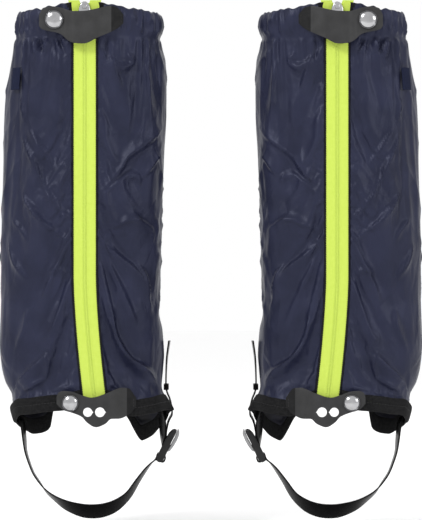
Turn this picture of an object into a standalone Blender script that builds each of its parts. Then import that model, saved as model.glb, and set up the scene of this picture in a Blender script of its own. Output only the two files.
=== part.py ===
"""A pair of hiking gaiters, upright as worn, as an assembly of named pieces.

Units are metres and +Z is up. The zips face -Y. Both gaiters are built by the same function in a
frame of their own, whose origin is under the leg at the height of the front hem. The right-hand one
hangs from a mirrored empty, so it is the exact mirror image of the left-hand one.
"""

import functools
import math

import bmesh
import bpy
import numpy as np
from mathutils import Vector

MM = 0.001

# The pair
HALF_SPACING = 134 * MM
CLEARANCE = 0.3 * MM

# The leg section: height, left side, right side and back depth of the wall's outer face
SECTIONS = (
    (-36, -63, 87, 46),
    (-10, -70, 88, 46),
    (0, -73, 88.5, 46),
    (20, -76.5, 84, 47),
    (50, -83.5, 80.5, 50),
    (75, -84.5, 80, 52),
    (135, -81, 81, 55),
    (200, -83, 82, 58),
    (260, -83.5, 86, 60),
    (320, -80.5, 88.5, 58),
    (365, -74.5, 88, 54),
    (386, -69.5, 82, 51),
    (402, -67.5, 82, 51),
    (425, -66, 79, 50),
)
FRONT_DEPTH = 52 * MM
SQUARENESS = 2.6
RING_POINTS = 360

# The shell
SHELL_WALL = 1.6 * MM
SHELL_TOP = 385.6 * MM
SHELL_COLUMNS = 22
SHELL_ROWS = 11
SEAM_HALF_SHARE = 0.007
SEAM_GAP_SHARE = 0.0012
SEAM_THICKNESS = 2.2 * MM
SEAM_PROUD = 0.4 * MM

# The bound hem: share of the way round from the zip, and height of the lower edge
HEM_EDGE = (
    (0.0, 8),
    (0.06, -3),
    (0.1, -1),
    (0.18, 2),
    (0.22, 0),
    (0.25, -7),
    (0.29, -19.7),
    (0.313, -27.3),
    (0.336, -31.5),
    (0.345, -32.6),
    (0.352, -30.8),
    (0.365, -23),
    (0.386, -8),
    (0.41, 3),
    (0.44, 5),
    (0.5, 6),
    (0.57, 4),
    (0.583, -8),
    (0.593, -18.8),
    (0.607, -23),
    (0.624, -24.9),
    (0.646, -25.1),
    (0.667, -21.8),
    (0.692, -17.4),
    (0.714, -13.5),
    (0.74, -12),
    (0.77, -11),
    (0.8, -6),
    (0.83, -2),
    (0.86, -1),
    (0.9, 1.4),
    (0.95, 3.4),
    (1.0, 8),
)
HEM_HEIGHT = 16 * MM
HEM_PROUD = 1.0 * MM
HEM_GAP = 1.2 * MM
HEM_THICKNESS = 3.0 * MM

# The gathered top casing and the elastic inside it
CASING_BOTTOM = 386 * MM
CASING_TOP = 416.5 * MM
CASING_TOP_WAVE = 3.5 * MM
CASING_PROUD = 2.0 * MM
CASING_DEPTH = 4.8 * MM
CASING_WALL = 0.8 * MM
CASING_COLUMNS = 30
CASING_START = 19.5 * MM
ELASTIC_THICKNESS = 2.0 * MM
ELASTIC_MARGIN = 2.0 * MM
ELASTIC_SETBACK = 1.4 * MM

# The zip: straight above the bend, then curving towards the buckle side
ZIP_X = 4.8 * MM
ZIP_BEND_Z = 140 * MM
ZIP_BEND_RUN = 119 * MM
ZIP_BEND_SHIFT = 9.4 * MM
ZIP_BOTTOM = 12 * MM
ZIP_TOP = 423 * MM
FLARE_START = 395 * MM
FLARE_SHIFT = 5.2 * MM
ZIP_ROWS = 16
COIL_INNER = 0.45 * MM
COIL_OUTER = 1.7 * MM
COIL_PROUD = 0.7 * MM
COIL_THICKNESS = 2.2 * MM
COIL_TOP = 421 * MM
TAPE_INNER = 2.0 * MM
TAPE_OUTER = 11.2 * MM
TAPE_THICKNESS = 1.2 * MM
PIPING_INNER = 11.5 * MM
PIPING_OUTER = 13.0 * MM
PIPING_TOP = 400 * MM
PIPING_PROUD = 0.4 * MM
PIPING_THICKNESS = 2.0 * MM
PANEL_START = 13.7 * MM
RETAINER_SIZE = (9 * MM, 3.4 * MM, 5.6 * MM)
RETAINER_SETBACK = 0.5 * MM
RETAINER_ROUND = 0.6 * MM

# The slider and its pull
SLIDER_Z = 412.5 * MM
SLIDER_LENGTH = 17 * MM
SLIDER_WIDTH = 12.5 * MM
SLIDER_PLATE_BACK_Y = -53.2 * MM
SLIDER_PLATE = 2.4 * MM
SLIDER_REAR_Y = -50.2 * MM
SLIDER_REAR_PLATE = 1.4 * MM
SLIDER_WEB = 0.3 * MM
SLIDER_ROUND = 0.8 * MM
SLIDER_REAR_INSET = 2 * MM
SLIDER_WEB_INSET = 5 * MM
SLIDER_OVERLAP = 2 * MM
PULL_BAR_Y = -58.0 * MM
PULL_BAR_Z = 409 * MM
PULL_BAR_RADIUS = 0.8 * MM
PULL_LUG_INNER = 3.2 * MM
PULL_LUG_OUTER = 4.4 * MM
PULL_LUG_HEIGHT = 3.2 * MM
PULL_LUG_REACH = 1.2 * MM
PULL_LUG_OVERLAP = 0.4 * MM
PULL_WIDTH = 5.6 * MM
PULL_EYE_RADIUS = 1.9 * MM
PULL_EYE_HOLE = 1.15 * MM
PULL_LENGTH = 25 * MM
PULL_THICKNESS = 1.3 * MM
PULL_LEAN = math.radians(7.7)

# Closing tabs: upper edge, lower edge, and the inner face's distance forward, against x
TAB_THICKNESS = 1.8 * MM
TAB_ROWS = 3
TOP_TAB_UPPER = (
    (-41.5, 407),
    (-37.4, 414.3),
    (-29.3, 416),
    (-20, 414.9),
    (-5.8, 411),
    (4, 411.2),
    (22.5, 414.9),
    (30, 416.7),
    (37, 415.5),
    (43.9, 408),
)
TOP_TAB_LOWER = (
    (-41.5, 396),
    (-38.5, 392.7),
    (-21, 388.4),
    (-10.9, 381),
    (-5.8, 378.5),
    (4, 377.8),
    (19.3, 384.6),
    (38, 393.8),
    (43.9, 399),
)
TOP_TAB_ARCH = (
    (-41.5, -56.4),
    (-36, -56.9),
    (-16, -56.9),
    (-5, -61.2),
    (14, -61.2),
    (26, -58),
    (36, -53.6),
    (43.9, -51.4),
)
TOP_HINGE = (44.6 * MM, -52.4 * MM, 402 * MM)
TOP_SNAP = (-26.3 * MM, 402.5 * MM)
TOP_SNAP_RADIUS = 9.6 * MM
BOTTOM_TAB_UPPER = (
    (-23.6, 17),
    (-21.5, 21.7),
    (-17, 23.3),
    (-9.9, 22.8),
    (2.4, 18.7),
    (11.8, 16.4),
    (25.8, 20.3),
    (43, 26.4),
    (48.8, 25.8),
    (56.8, 16),
)
BOTTOM_TAB_LOWER = (
    (-23.6, 10),
    (-17, 3.9),
    (-6.8, 0.6),
    (2.4, -3.5),
    (7.1, -8.8),
    (16.5, -13.8),
    (25.8, -10.4),
    (31.7, -5.3),
    (38.8, -5.3),
    (50.3, -0.6),
    (56.8, 7),
)
BOTTOM_TAB_ARCH = (
    (-23.6, -56.6),
    (-20, -56.9),
    (0, -56.9),
    (18, -56.9),
    (32, -54.9),
    (45, -51.6),
    (56.8, -47.9),
)
BOTTOM_HINGE = (57.5 * MM, -48.8 * MM, 11 * MM)
BOTTOM_SNAP = (-9.8 * MM, 10.9 * MM)
BOTTOM_SNAP_RADIUS = 8.7 * MM
LACE_HOLES = ((8.1 * MM, 1.5 * MM, 4.7 * MM), (20.6 * MM, 1.5 * MM, 5.0 * MM))
PUNCH_LENGTH = 16 * MM
PUNCH_Y = -57 * MM

# Press studs, measured outwards from the tab's outer face or the shell
CAP_HEIGHT = 2.6 * MM
SOCKET_RADIUS = 6.3 * MM
SOCKET_HOLE = 3.2 * MM
SOCKET_FRONT_Y = -56.5 * MM
SOCKET_THICKNESS = 1.8 * MM
STUD_BASE_RADIUS = 6.0 * MM
STUD_BASE_Y = -53.1 * MM
STUD_BASE_HEIGHT = 0.8 * MM
STUD_RADIUS = 2.4 * MM
STUD_HEIGHT = 2.9 * MM
TURN_STEPS = 14

# The stirrup: webbing under the boot, its buckle and the adjuster
STRAP_Y = 8 * MM
STRAP_WIDTH = 20 * MM
STRAP_THICKNESS = 1.6 * MM
SWING_Z = -10 * MM
# x, z and roll in degrees; the middle stretch is exactly flat
INSTEP_ROUTE = (
    (-63.0, -10.8, 8),
    (-61.6, -19.5, 8),
    (-60.4, -31, 6),
    (-58.9, -43, 2),
    (-55.4, -54.5, 0.5),
    (-50.9, -65.5, -0.5),
    (-43.9, -75.9, -2),
    (-36.9, -84.8, -10),
    (-27.1, -92.4, -19),
    (-15.8, -99, -33),
    (-3, -103.4, -45),
    (5, -104.8, -50),
    (9, -104.8, -50),
    (23, -104.8, -50),
    (27, -104.8, -50),
    (33.3, -101.2, -41),
    (40.3, -95.6, -31),
    (48.7, -86.8, -21),
    (57.2, -73.8, -14),
    (65.6, -61.9, -9),
    (71.5, -55.0, -4),
    (76.3, -50.4, 0),
)
BUCKLE_CENTRE = (87.8 * MM, -35.0 * MM)
BUCKLE_LEAN = math.radians(23.9)
BUCKLE_HEIGHT = 34.5 * MM
BUCKLE_WIDTH = 27 * MM
BUCKLE_THICKNESS = 7.0 * MM
BAR_THICKNESS = 4.0 * MM
BAR_RELIEF_WIDTH = 24 * MM
BUCKLE_ROUND = 0.45 * MM
WINDOW_WIDTH = 22 * MM
LOWER_WINDOW = (-13.5 * MM, -4.0 * MM)
UPPER_WINDOW = (-0.5 * MM, 10.0 * MM)
INSTEP_LOOP = ((-4.4, 2.9), (0, 3.3), (3.9, 2.5), (4.7, 0), (3.9, -2.5), (0, -3.4), (-4.4, -3.2))
ADJUSTER_ROUTE = (
    (82.4, -10.8, -12),
    (82.6, -20, -12),
    (82.8, -30, -6),
    (83.0, -37, 0),
    (84.2, -40.8, 0),
    (87.3, -41.9, 0),
    (90.3, -40.2, 0),
    (90.9, -36.6, 0),
    (89.3, -33.4, 0),
    (87.2, -30.6, 0),
    (86.9, -25, 0),
    (87.3, -18, 0),
    (88, -10.8, 0),
)
TAIL_ROUTE = (
    (93.4, -4.2),
    (93.2, 3),
    (91.2, 12),
    (88.4, 19),
    (87.4, 25),
    (87.2, 40),
    (87.6, 58),
    (88.8, 74),
)
KEEPER_CENTRE = (87.4 * MM, 25 * MM)
KEEPER_SIZE = (5.4 * MM, 25 * MM, 6 * MM)
KEEPER_HOLE = (2.9 * MM, 21.4 * MM)
ANCHOR_SPAN = (0.722, 0.758)
ANCHOR_HEIGHTS = (-1 * MM, 13 * MM)
ANCHOR_OFFSET = -2.6 * MM

# The woven side label
LABEL_SPAN = (0.845, 0.872)
LABEL_HEIGHTS = (332 * MM, 355 * MM)
LABEL_PROUD = 0.9 * MM
LABEL_THICKNESS = 0.7 * MM


def clear_scene():
    for obj in list(bpy.data.objects):
        bpy.data.objects.remove(obj, do_unlink=True)


def make_material(name, colour, roughness, metallic=0.0):
    material = bpy.data.materials.new(name)
    material.use_nodes = True
    shader = material.node_tree.nodes["Principled BSDF"]
    shader.inputs["Base Color"].default_value = (*colour, 1.0)
    shader.inputs["Roughness"].default_value = roughness
    shader.inputs["Metallic"].default_value = metallic
    return material


def make_collection(name):
    collection = bpy.data.collections.new(name)
    bpy.context.scene.collection.children.link(collection)
    return collection


def smooth(table, at):
    """A value read from a table of (place, value), along a curve that never overshoots."""
    places = [row[0] for row in table]
    values = [row[1] for row in table]
    if at <= places[0]:
        return values[0]
    if at >= places[-1]:
        return values[-1]
    slopes = [(v1 - v0) / (p1 - p0) for p0, p1, v0, v1 in zip(places, places[1:], values, values[1:])]

    def gradient(index):
        if index == 0 or index == len(places) - 1:
            return slopes[min(index, len(slopes) - 1)]
        before, after = slopes[index - 1], slopes[index]
        if before * after <= 0:
            return 0.0
        return 2 * before * after / (before + after)

    low = max(i for i, place in enumerate(places) if place <= at)
    run = places[low + 1] - places[low]
    t = (at - places[low]) / run
    return (
        values[low] * (2 * t**3 - 3 * t**2 + 1)
        + gradient(low) * run * (t**3 - 2 * t**2 + t)
        + values[low + 1] * (3 * t**2 - 2 * t**3)
        + gradient(low + 1) * run * (t**3 - t**2)
    )


def zip_x(z):
    """The zip's centre line."""
    below = max(0.0, ZIP_BEND_Z - z) / ZIP_BEND_RUN
    return ZIP_X + ZIP_BEND_SHIFT * below**1.5


def flare(z):
    """How far the tape's two ends spread above the slider."""
    above = max(0.0, z - FLARE_START) / (ZIP_TOP - FLARE_START)
    return FLARE_SHIFT * above**1.6


@functools.lru_cache(maxsize=None)
def ring(z):
    """The wall's outer face at one height, from the zip's centre round by the right: x, y, length."""
    height = z / MM
    left = smooth([(row[0], row[1]) for row in SECTIONS], height) * MM
    right = smooth([(row[0], row[2]) for row in SECTIONS], height) * MM
    back = smooth([(row[0], row[3]) for row in SECTIONS], height) * MM
    centre = (left + right) / 2
    half_width = (right - left) / 2
    start = (zip_x(z) - centre) / half_width
    first = math.asin(math.copysign(abs(start) ** (SQUARENESS / 2), start))
    angles = first + np.linspace(0, 2 * math.pi, RING_POINTS + 1)
    sines, cosines = np.sin(angles), np.cos(angles)
    x = centre + half_width * np.sign(sines) * np.abs(sines) ** (2 / SQUARENESS)
    depth = np.where(cosines > 0, FRONT_DEPTH, back)
    y = -depth * np.sign(cosines) * np.abs(cosines) ** (2 / SQUARENESS)
    steps = np.hypot(np.diff(x), np.diff(y))
    return x, y, np.concatenate([[0], np.cumsum(steps)])


def girth(z):
    return float(ring(z)[2][-1])


def wall(distance, z, proud=0.0):
    """A point of the wall's outer face, pushed out by proud, at a distance round from the zip."""
    x, y, lengths = ring(z)
    total = lengths[-1]

    def at(length):
        length %= total
        return float(np.interp(length, lengths, x)), float(np.interp(length, lengths, y))

    px, py = at(distance)
    reach = 2 * MM
    ax, ay = at(distance - reach)
    bx, by = at(distance + reach)
    normal = Vector((by - ay, ax - bx, 0)).normalized()
    return Vector((px, py, z)) + normal * proud


def panel_distance(share, z):
    """A share of the way round the fabric, from the zip's right edge to its left edge."""
    return PANEL_START + share * (girth(z) - 2 * PANEL_START)


def hem_edge(share):
    return smooth(HEM_EDGE, share) * MM


class Gaiter:
    """One gaiter's empties and pieces, under a root empty."""

    def __init__(self, side, collection, guides, materials, mirrored):
        self.side = side
        self.collection = collection
        self.guides = guides
        self.materials = materials
        self.root = bpy.data.objects.new(side + "_frame", None)
        self.root.location.x = HALF_SPACING if mirrored else -HALF_SPACING
        self.root.scale.x = -1 if mirrored else 1
        collection.objects.link(self.root)

    def pivot(self, name, location, parent=None):
        """An empty on a joint's axis, placed in the gaiter's frame."""
        empty = bpy.data.objects.new(f"{self.side}_{name}", None)
        empty["place"] = tuple(location)
        empty.parent = parent or self.root
        above = Vector(parent["place"]) if parent else Vector()
        empty.location = Vector(location) - above
        self.collection.objects.link(empty)
        return empty

    def add(self, name, mesh, material, pivot=None, location=(0, 0, 0), rotation=(0, 0, 0)):
        obj = bpy.data.objects.new(f"{self.side}_{name}", mesh)
        mesh.materials.append(self.materials[material])
        obj.parent = pivot or self.root
        obj.location = Vector(location) - (Vector(pivot["place"]) if pivot else Vector())
        obj.rotation_euler = rotation
        self.collection.objects.link(obj)
        return obj

    def cutter(self, obj, cutting, name="cut"):
        """Takes the cutting object out of obj, and hides the cutter."""
        modifier = obj.modifiers.new(name, "BOOLEAN")
        modifier.operation = "DIFFERENCE"
        modifier.solver = "EXACT"
        modifier.object = cutting

    def join(self, obj, other, name="join"):
        modifier = obj.modifiers.new(name, "BOOLEAN")
        modifier.operation = "UNION"
        modifier.solver = "EXACT"
        modifier.object = other

    def guide(self, mesh, name, location, rotation=(0, 0, 0), pivot=None):
        """A wire helper that only a Boolean reads."""
        obj = bpy.data.objects.new(f"{self.side}_{name}", mesh)
        obj.parent = pivot or self.root
        obj.location = Vector(location) - (Vector(pivot["place"]) if pivot else Vector())
        obj.rotation_euler = rotation
        obj.hide_render = True
        obj.display_type = "WIRE"
        self.guides.objects.link(obj)
        return obj


def grid_mesh(name, columns, rows, place, closed=False):
    """A sheet of columns by rows quads whose corner (i, j) is at place(i, j)."""
    across = rows if closed else rows + 1
    points = [place(i, j) for i in range(columns + 1) for j in range(across)]
    faces = []
    for i in range(columns):
        for j in range(rows):
            above = (j + 1) % across
            near = i * across
            far = near + across
            faces.append((near + j, far + j, far + above, near + above))
    mesh = bpy.data.meshes.new(name)
    mesh.from_pydata(points, [], faces)
    mesh.shade_smooth()
    mesh.set_sharp_from_angle(angle=math.radians(35))
    return mesh


def thicken(obj, thickness, offset=-1.0, even=False):
    modifier = obj.modifiers.new("thickness", "SOLIDIFY")
    modifier.thickness = thickness
    modifier.offset = offset
    modifier.use_even_offset = even


def box_mesh(name, size):
    """A box centred on its origin."""
    work = bmesh.new()
    bmesh.ops.create_cube(work, size=1.0)
    bmesh.ops.scale(work, vec=size, verts=work.verts)
    mesh = bpy.data.meshes.new(name)
    work.to_mesh(mesh)
    work.free()
    return mesh


def rod_mesh(name, radius, length, sides=16):
    """A closed cylinder along Z."""
    bpy.ops.mesh.primitive_cylinder_add(vertices=sides, radius=radius, depth=length)
    obj = bpy.context.object
    mesh = obj.data
    mesh.name = name
    bpy.data.objects.remove(obj, do_unlink=True)
    return mesh


def turned_mesh(name, profile, closed):
    """A profile of (radius, height) in the XZ plane, for a Screw modifier."""
    mesh = bpy.data.meshes.new(name)
    count = len(profile)
    edges = [(i, (i + 1) % count) for i in range(count if closed else count - 1)]
    mesh.from_pydata([(radius, 0, height) for radius, height in profile], edges, [])
    return mesh


def turn(obj):
    modifier = obj.modifiers.new("turn", "SCREW")
    modifier.steps = TURN_STEPS
    modifier.render_steps = TURN_STEPS
    modifier.use_merge_vertices = True
    modifier.merge_threshold = 0.00001


FACING_FRONT = (math.pi / 2, 0, 0)


def ribbon(gaiter, name, centres, rolls, pivot=None, material="webbing"):
    """Flat webbing along points of the XZ plane, in mm, each turned about its own direction by a roll."""
    points = [Vector((x * MM, STRAP_Y, z * MM)) for x, z in centres]

    def place(i, j):
        ahead = points[min(i + 1, len(points) - 1)] - points[max(i - 1, 0)]
        upright = ahead.normalized().cross(Vector((0, 1, 0)))
        roll = math.radians(rolls[i])
        across = Vector((0, 1, 0)) * math.cos(roll) + upright * math.sin(roll)
        return points[i] + across * STRAP_WIDTH * (j - 0.5)

    mesh = grid_mesh(name, len(points) - 1, 1, place)
    obj = gaiter.add(name, mesh, material, pivot)
    thicken(obj, STRAP_THICKNESS, offset=0.0)
    return obj


def build_shell(gaiter):
    """Two fabric panels, the seam down the back and the bound hem."""

    def panel(name, low, high):
        def place(i, j):
            share = min(max(round(2 * low) / 2 + i / (2 * SHELL_COLUMNS), low), high)
            bottom = hem_edge(share) + HEM_HEIGHT + HEM_GAP
            z = bottom + (SHELL_TOP - bottom) * j / SHELL_ROWS
            return wall(panel_distance(share, z), z)

        obj = gaiter.add(name, grid_mesh(name, SHELL_COLUMNS, SHELL_ROWS, place), "shell")
        thicken(obj, SHELL_WALL)

    half = 0.5 - SEAM_HALF_SHARE - SEAM_GAP_SHARE
    panel("shell_inner_panel", 0.0, half)
    panel("shell_outer_panel", 1 - half, 1.0)

    def seam_place(i, j):
        share = 0.5 + SEAM_HALF_SHARE * (2 * i - 1)
        bottom = hem_edge(share) + HEM_HEIGHT + HEM_GAP
        z = bottom + (SHELL_TOP - bottom) * j / SHELL_ROWS
        return wall(panel_distance(share, z), z, SEAM_PROUD)

    seam = gaiter.add("back_seam", grid_mesh("back_seam", 1, SHELL_ROWS, seam_place), "shell")
    thicken(seam, SEAM_THICKNESS)

    def hem_place(i, j):
        share = i / (2 * SHELL_COLUMNS)
        z = hem_edge(share) + HEM_HEIGHT * j
        return wall(panel_distance(share, z), z, HEM_PROUD)

    hem = gaiter.add("hem_binding", grid_mesh("hem_binding", 2 * SHELL_COLUMNS, 1, hem_place), "binding")
    thicken(hem, HEM_THICKNESS)


def casing_top(share):
    return (
        CASING_TOP
        + CASING_TOP_WAVE * math.cos(4 * math.pi * share)
        - CASING_TOP_WAVE * math.cos(2 * math.pi * share)
    )


def casing_point(share, z, proud):
    distance = CASING_START + share * (girth(z) - 2 * CASING_START)
    return wall(distance, z, proud)


def build_top(gaiter):
    """The casing, a flat tunnel open at both ends, and the elastic that gathers it."""

    def casing_place(i, j):
        share = i / CASING_COLUMNS
        proud = CASING_PROUD if j in (0, 1) else CASING_PROUD - CASING_DEPTH
        z = CASING_BOTTOM if j in (0, 3) else casing_top(share)
        return casing_point(share, z, proud)

    mesh = grid_mesh("top_casing", CASING_COLUMNS, 4, casing_place, closed=True)
    casing = gaiter.add("top_casing", mesh, "shell")
    thicken(casing, CASING_WALL, even=True)

    def elastic_place(i, j):
        share = i / CASING_COLUMNS
        low = CASING_BOTTOM + ELASTIC_MARGIN
        high = casing_top(share) - ELASTIC_MARGIN
        return casing_point(share, low + (high - low) * j, CASING_PROUD - ELASTIC_SETBACK)

    elastic = grid_mesh("top_elastic", CASING_COLUMNS, 1, elastic_place)
    elastic = gaiter.add("top_elastic", elastic, "elastic")
    thicken(elastic, ELASTIC_THICKNESS)


def build_zip(gaiter):
    """Two tapes with their coils and corded edges, the retainer box, the slider and its pull."""

    def strip(name, inner, outer, top, proud, thickness, material):
        def place(i, j):
            z = ZIP_BOTTOM + (top - ZIP_BOTTOM) * j / ZIP_ROWS
            return wall(inner + (outer - inner) * i + math.copysign(flare(z), inner), z, proud)

        obj = gaiter.add(name, grid_mesh(name, 1, ZIP_ROWS, place), material)
        thicken(obj, thickness)

    for word, sign in (("right", 1), ("left", -1)):
        edges = [(COIL_INNER, COIL_OUTER), (TAPE_INNER, TAPE_OUTER), (PIPING_INNER, PIPING_OUTER)]
        coil, tape, piping = [sorted((sign * low, sign * high)) for low, high in edges]
        strip(f"zip_coil_{word}", *coil, COIL_TOP, COIL_PROUD, COIL_THICKNESS, "coil")
        strip(f"zip_tape_{word}", *tape, ZIP_TOP, 0.0, TAPE_THICKNESS, "tape")
        strip(f"zip_piping_{word}", *piping, PIPING_TOP, PIPING_PROUD, PIPING_THICKNESS, "binding")

    size = RETAINER_SIZE
    place = (zip_x(ZIP_BOTTOM), -FRONT_DEPTH + RETAINER_SETBACK, ZIP_BOTTOM - CLEARANCE - size[2] / 2)
    retainer = gaiter.add("zip_retainer_box", box_mesh("zip_retainer_box", size), "tape", location=place)
    soften(retainer, RETAINER_ROUND)
    build_slider(gaiter)


def soften(obj, width, segments=2):
    modifier = obj.modifiers.new("round", "BEVEL")
    modifier.width = width
    modifier.segments = segments
    modifier.limit_method = "ANGLE"


def build_slider(gaiter):
    """Front and rear plates joined by a web between the coils, with a bar that carries the pull."""
    slider_pivot = gaiter.pivot("slider_pivot", (ZIP_X, SLIDER_PLATE_BACK_Y, SLIDER_Z))
    plate_y = SLIDER_PLATE_BACK_Y - SLIDER_PLATE / 2
    plate = box_mesh("zip_slider", (SLIDER_WIDTH, SLIDER_PLATE, SLIDER_LENGTH))
    slider = gaiter.add("zip_slider", plate, "metal", slider_pivot, (ZIP_X, plate_y, SLIDER_Z))
    soften(slider, SLIDER_ROUND)
    rear_size = (SLIDER_WIDTH - SLIDER_REAR_INSET, SLIDER_REAR_PLATE, SLIDER_LENGTH - SLIDER_REAR_INSET)
    rear = box_mesh("slider_rear", rear_size)
    rear_y = SLIDER_REAR_Y + SLIDER_REAR_PLATE / 2
    web_depth = SLIDER_REAR_Y - SLIDER_PLATE_BACK_Y + SLIDER_OVERLAP
    web = box_mesh("slider_web", (SLIDER_WEB, web_depth, SLIDER_LENGTH - SLIDER_WEB_INSET))
    web_y = (SLIDER_REAR_Y + SLIDER_PLATE_BACK_Y) / 2
    bar = rod_mesh("slider_bar", PULL_BAR_RADIUS, 2 * PULL_LUG_OUTER - PULL_LUG_OVERLAP, 12)
    lug_depth = SLIDER_PLATE_BACK_Y - PULL_BAR_Y + PULL_LUG_OVERLAP
    lug_size = (PULL_LUG_OUTER - PULL_LUG_INNER, lug_depth, PULL_LUG_HEIGHT)
    lug_y = PULL_BAR_Y + lug_depth / 2 - PULL_LUG_REACH
    helpers = [
        (web, (ZIP_X, web_y, SLIDER_Z), (0, 0, 0)),
        (rear, (ZIP_X, rear_y, SLIDER_Z), (0, 0, 0)),
        (bar, (ZIP_X, PULL_BAR_Y, PULL_BAR_Z), (0, math.pi / 2, 0)),
    ]
    lug_x = (PULL_LUG_OUTER + PULL_LUG_INNER) / 2
    for sign in (-1, 1):
        lug = box_mesh("slider_lug", lug_size)
        helpers.append((lug, (ZIP_X + sign * lug_x, lug_y, PULL_BAR_Z), (0, 0, 0)))
    for number, (mesh, place, rotation) in enumerate(helpers):
        helper = gaiter.guide(mesh, f"slider_helper_{number}", place, rotation, slider_pivot)
        gaiter.join(slider, helper, f"join_{number}")

    pull_pivot = gaiter.pivot("pull_pivot", (ZIP_X, PULL_BAR_Y, PULL_BAR_Z), slider_pivot)
    eye = rod_mesh("zip_pull", PULL_EYE_RADIUS, PULL_WIDTH, 16)
    turned = (0, math.pi / 2, 0)
    pull = gaiter.add("zip_pull", eye, "metal", pull_pivot, (ZIP_X, PULL_BAR_Y, PULL_BAR_Z), turned)
    blade = box_mesh("pull_blade", (PULL_WIDTH, PULL_THICKNESS, PULL_LENGTH))
    drop = PULL_LENGTH / 2
    middle = (ZIP_X, PULL_BAR_Y + drop * math.sin(PULL_LEAN), PULL_BAR_Z - drop * math.cos(PULL_LEAN))
    blade_guide = gaiter.guide(blade, "pull_blade", middle, (PULL_LEAN, 0, 0), pull_pivot)
    gaiter.join(pull, blade_guide)
    hole = rod_mesh("pull_hole", PULL_EYE_HOLE, 2 * PULL_WIDTH, 16)
    centre = (ZIP_X, PULL_BAR_Y, PULL_BAR_Z)
    gaiter.cutter(pull, gaiter.guide(hole, "pull_hole", centre, turned, pull_pivot))


def tab_mesh(name, upper, lower, arch, columns):
    """A tab between two edge curves, bent along x by its arch."""
    low, high = upper[0][0], upper[-1][0]

    def place(i, j):
        x = low + (high - low) * 0.5 * (1 - math.cos(math.pi * i / columns))
        bottom, top = smooth(lower, x), smooth(upper, x)
        return Vector((x, smooth(arch, x), bottom + (top - bottom) * j / TAB_ROWS)) * MM

    return grid_mesh(name, columns, TAB_ROWS, place)


def snap_profile(radius):
    """A domed cap with a raised rim, from the middle of its face round to the middle of its back."""
    height = CAP_HEIGHT
    angles = (0, 0.5, 0.95, 1.35)
    dome = [(radius * 0.74 * math.sin(a), height * (0.55 + 0.45 * math.cos(a))) for a in angles]
    rim = [(radius * 0.82, height * 0.72), (radius * 0.94, height * 0.66), (radius, height * 0.35)]
    return dome + rim + [(radius * 0.97, 0), (0, 0)]


def build_snap(gaiter, name, place, radius, pivot, tab_outer_y):
    """A press stud: cap and socket on the tab, stud on the shell."""
    x, z = place
    cap = turned_mesh(f"{name}_snap_cap", snap_profile(radius), closed=False)
    cap_place = (x, tab_outer_y - CLEARANCE, z)
    turn(gaiter.add(f"{name}_snap_cap", cap, "metal", pivot, cap_place, FACING_FRONT))
    thickness = SOCKET_THICKNESS
    outer, inner = SOCKET_RADIUS, SOCKET_HOLE
    ring_profile = [(outer, thickness), (outer, 0), (inner, 0), (inner, thickness)]
    socket = turned_mesh(f"{name}_snap_socket", ring_profile, closed=True)
    socket_place = (x, SOCKET_FRONT_Y + thickness, z)
    turn(gaiter.add(f"{name}_snap_socket", socket, "metal", pivot, socket_place, FACING_FRONT))
    stud_profile = [
        (0, STUD_HEIGHT),
        (STUD_RADIUS * 0.8, STUD_HEIGHT),
        (STUD_RADIUS, STUD_HEIGHT * 0.75),
        (STUD_RADIUS * 0.85, STUD_BASE_HEIGHT),
        (STUD_BASE_RADIUS, STUD_BASE_HEIGHT),
        (STUD_BASE_RADIUS, 0),
        (0, 0),
    ]
    stud = turned_mesh(f"{name}_snap_stud", stud_profile, closed=False)
    turn(gaiter.add(f"{name}_snap_stud", stud, "metal", None, (x, STUD_BASE_Y, z), FACING_FRONT))


def build_tabs(gaiter):
    """The two tabs that close over the zip, each sewn on at its buckle side and snapped at the other."""
    top_pivot = gaiter.pivot("top_tab_pivot", TOP_HINGE)
    mesh = tab_mesh("top_tab", TOP_TAB_UPPER, TOP_TAB_LOWER, TOP_TAB_ARCH, 20)
    top_tab = gaiter.add("top_tab", mesh, "leather", top_pivot)
    thicken(top_tab, TAB_THICKNESS, offset=1.0)
    flat_y = smooth(TOP_TAB_ARCH, TOP_SNAP[0] / MM) * MM - TAB_THICKNESS
    build_snap(gaiter, "top", TOP_SNAP, TOP_SNAP_RADIUS, top_pivot, flat_y)

    bottom_pivot = gaiter.pivot("bottom_tab_pivot", BOTTOM_HINGE)
    mesh = tab_mesh("bottom_tab", BOTTOM_TAB_UPPER, BOTTOM_TAB_LOWER, BOTTOM_TAB_ARCH, 20)
    bottom_tab = gaiter.add("bottom_tab", mesh, "leather", bottom_pivot)
    thicken(bottom_tab, TAB_THICKNESS, offset=1.0)
    for number, (x, z, radius) in enumerate(LACE_HOLES):
        punch = rod_mesh("lace_punch", radius, PUNCH_LENGTH)
        place = (x, PUNCH_Y, z)
        cutting = gaiter.guide(punch, f"lace_punch_{number}", place, FACING_FRONT, bottom_pivot)
        gaiter.cutter(bottom_tab, cutting, f"punch_{number}")
    flat_y = smooth(BOTTOM_TAB_ARCH, BOTTOM_SNAP[0] / MM) * MM - TAB_THICKNESS
    build_snap(gaiter, "bottom", BOTTOM_SNAP, BOTTOM_SNAP_RADIUS, bottom_pivot, flat_y)


def buckle_point(across, along):
    """A point of the XZ plane, from the buckle's own thickness and height directions, in mm."""
    x = BUCKLE_CENTRE[0] / MM + across * math.cos(BUCKLE_LEAN) + along * math.sin(BUCKLE_LEAN)
    z = BUCKLE_CENTRE[1] / MM - across * math.sin(BUCKLE_LEAN) + along * math.cos(BUCKLE_LEAN)
    return x, z


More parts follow.
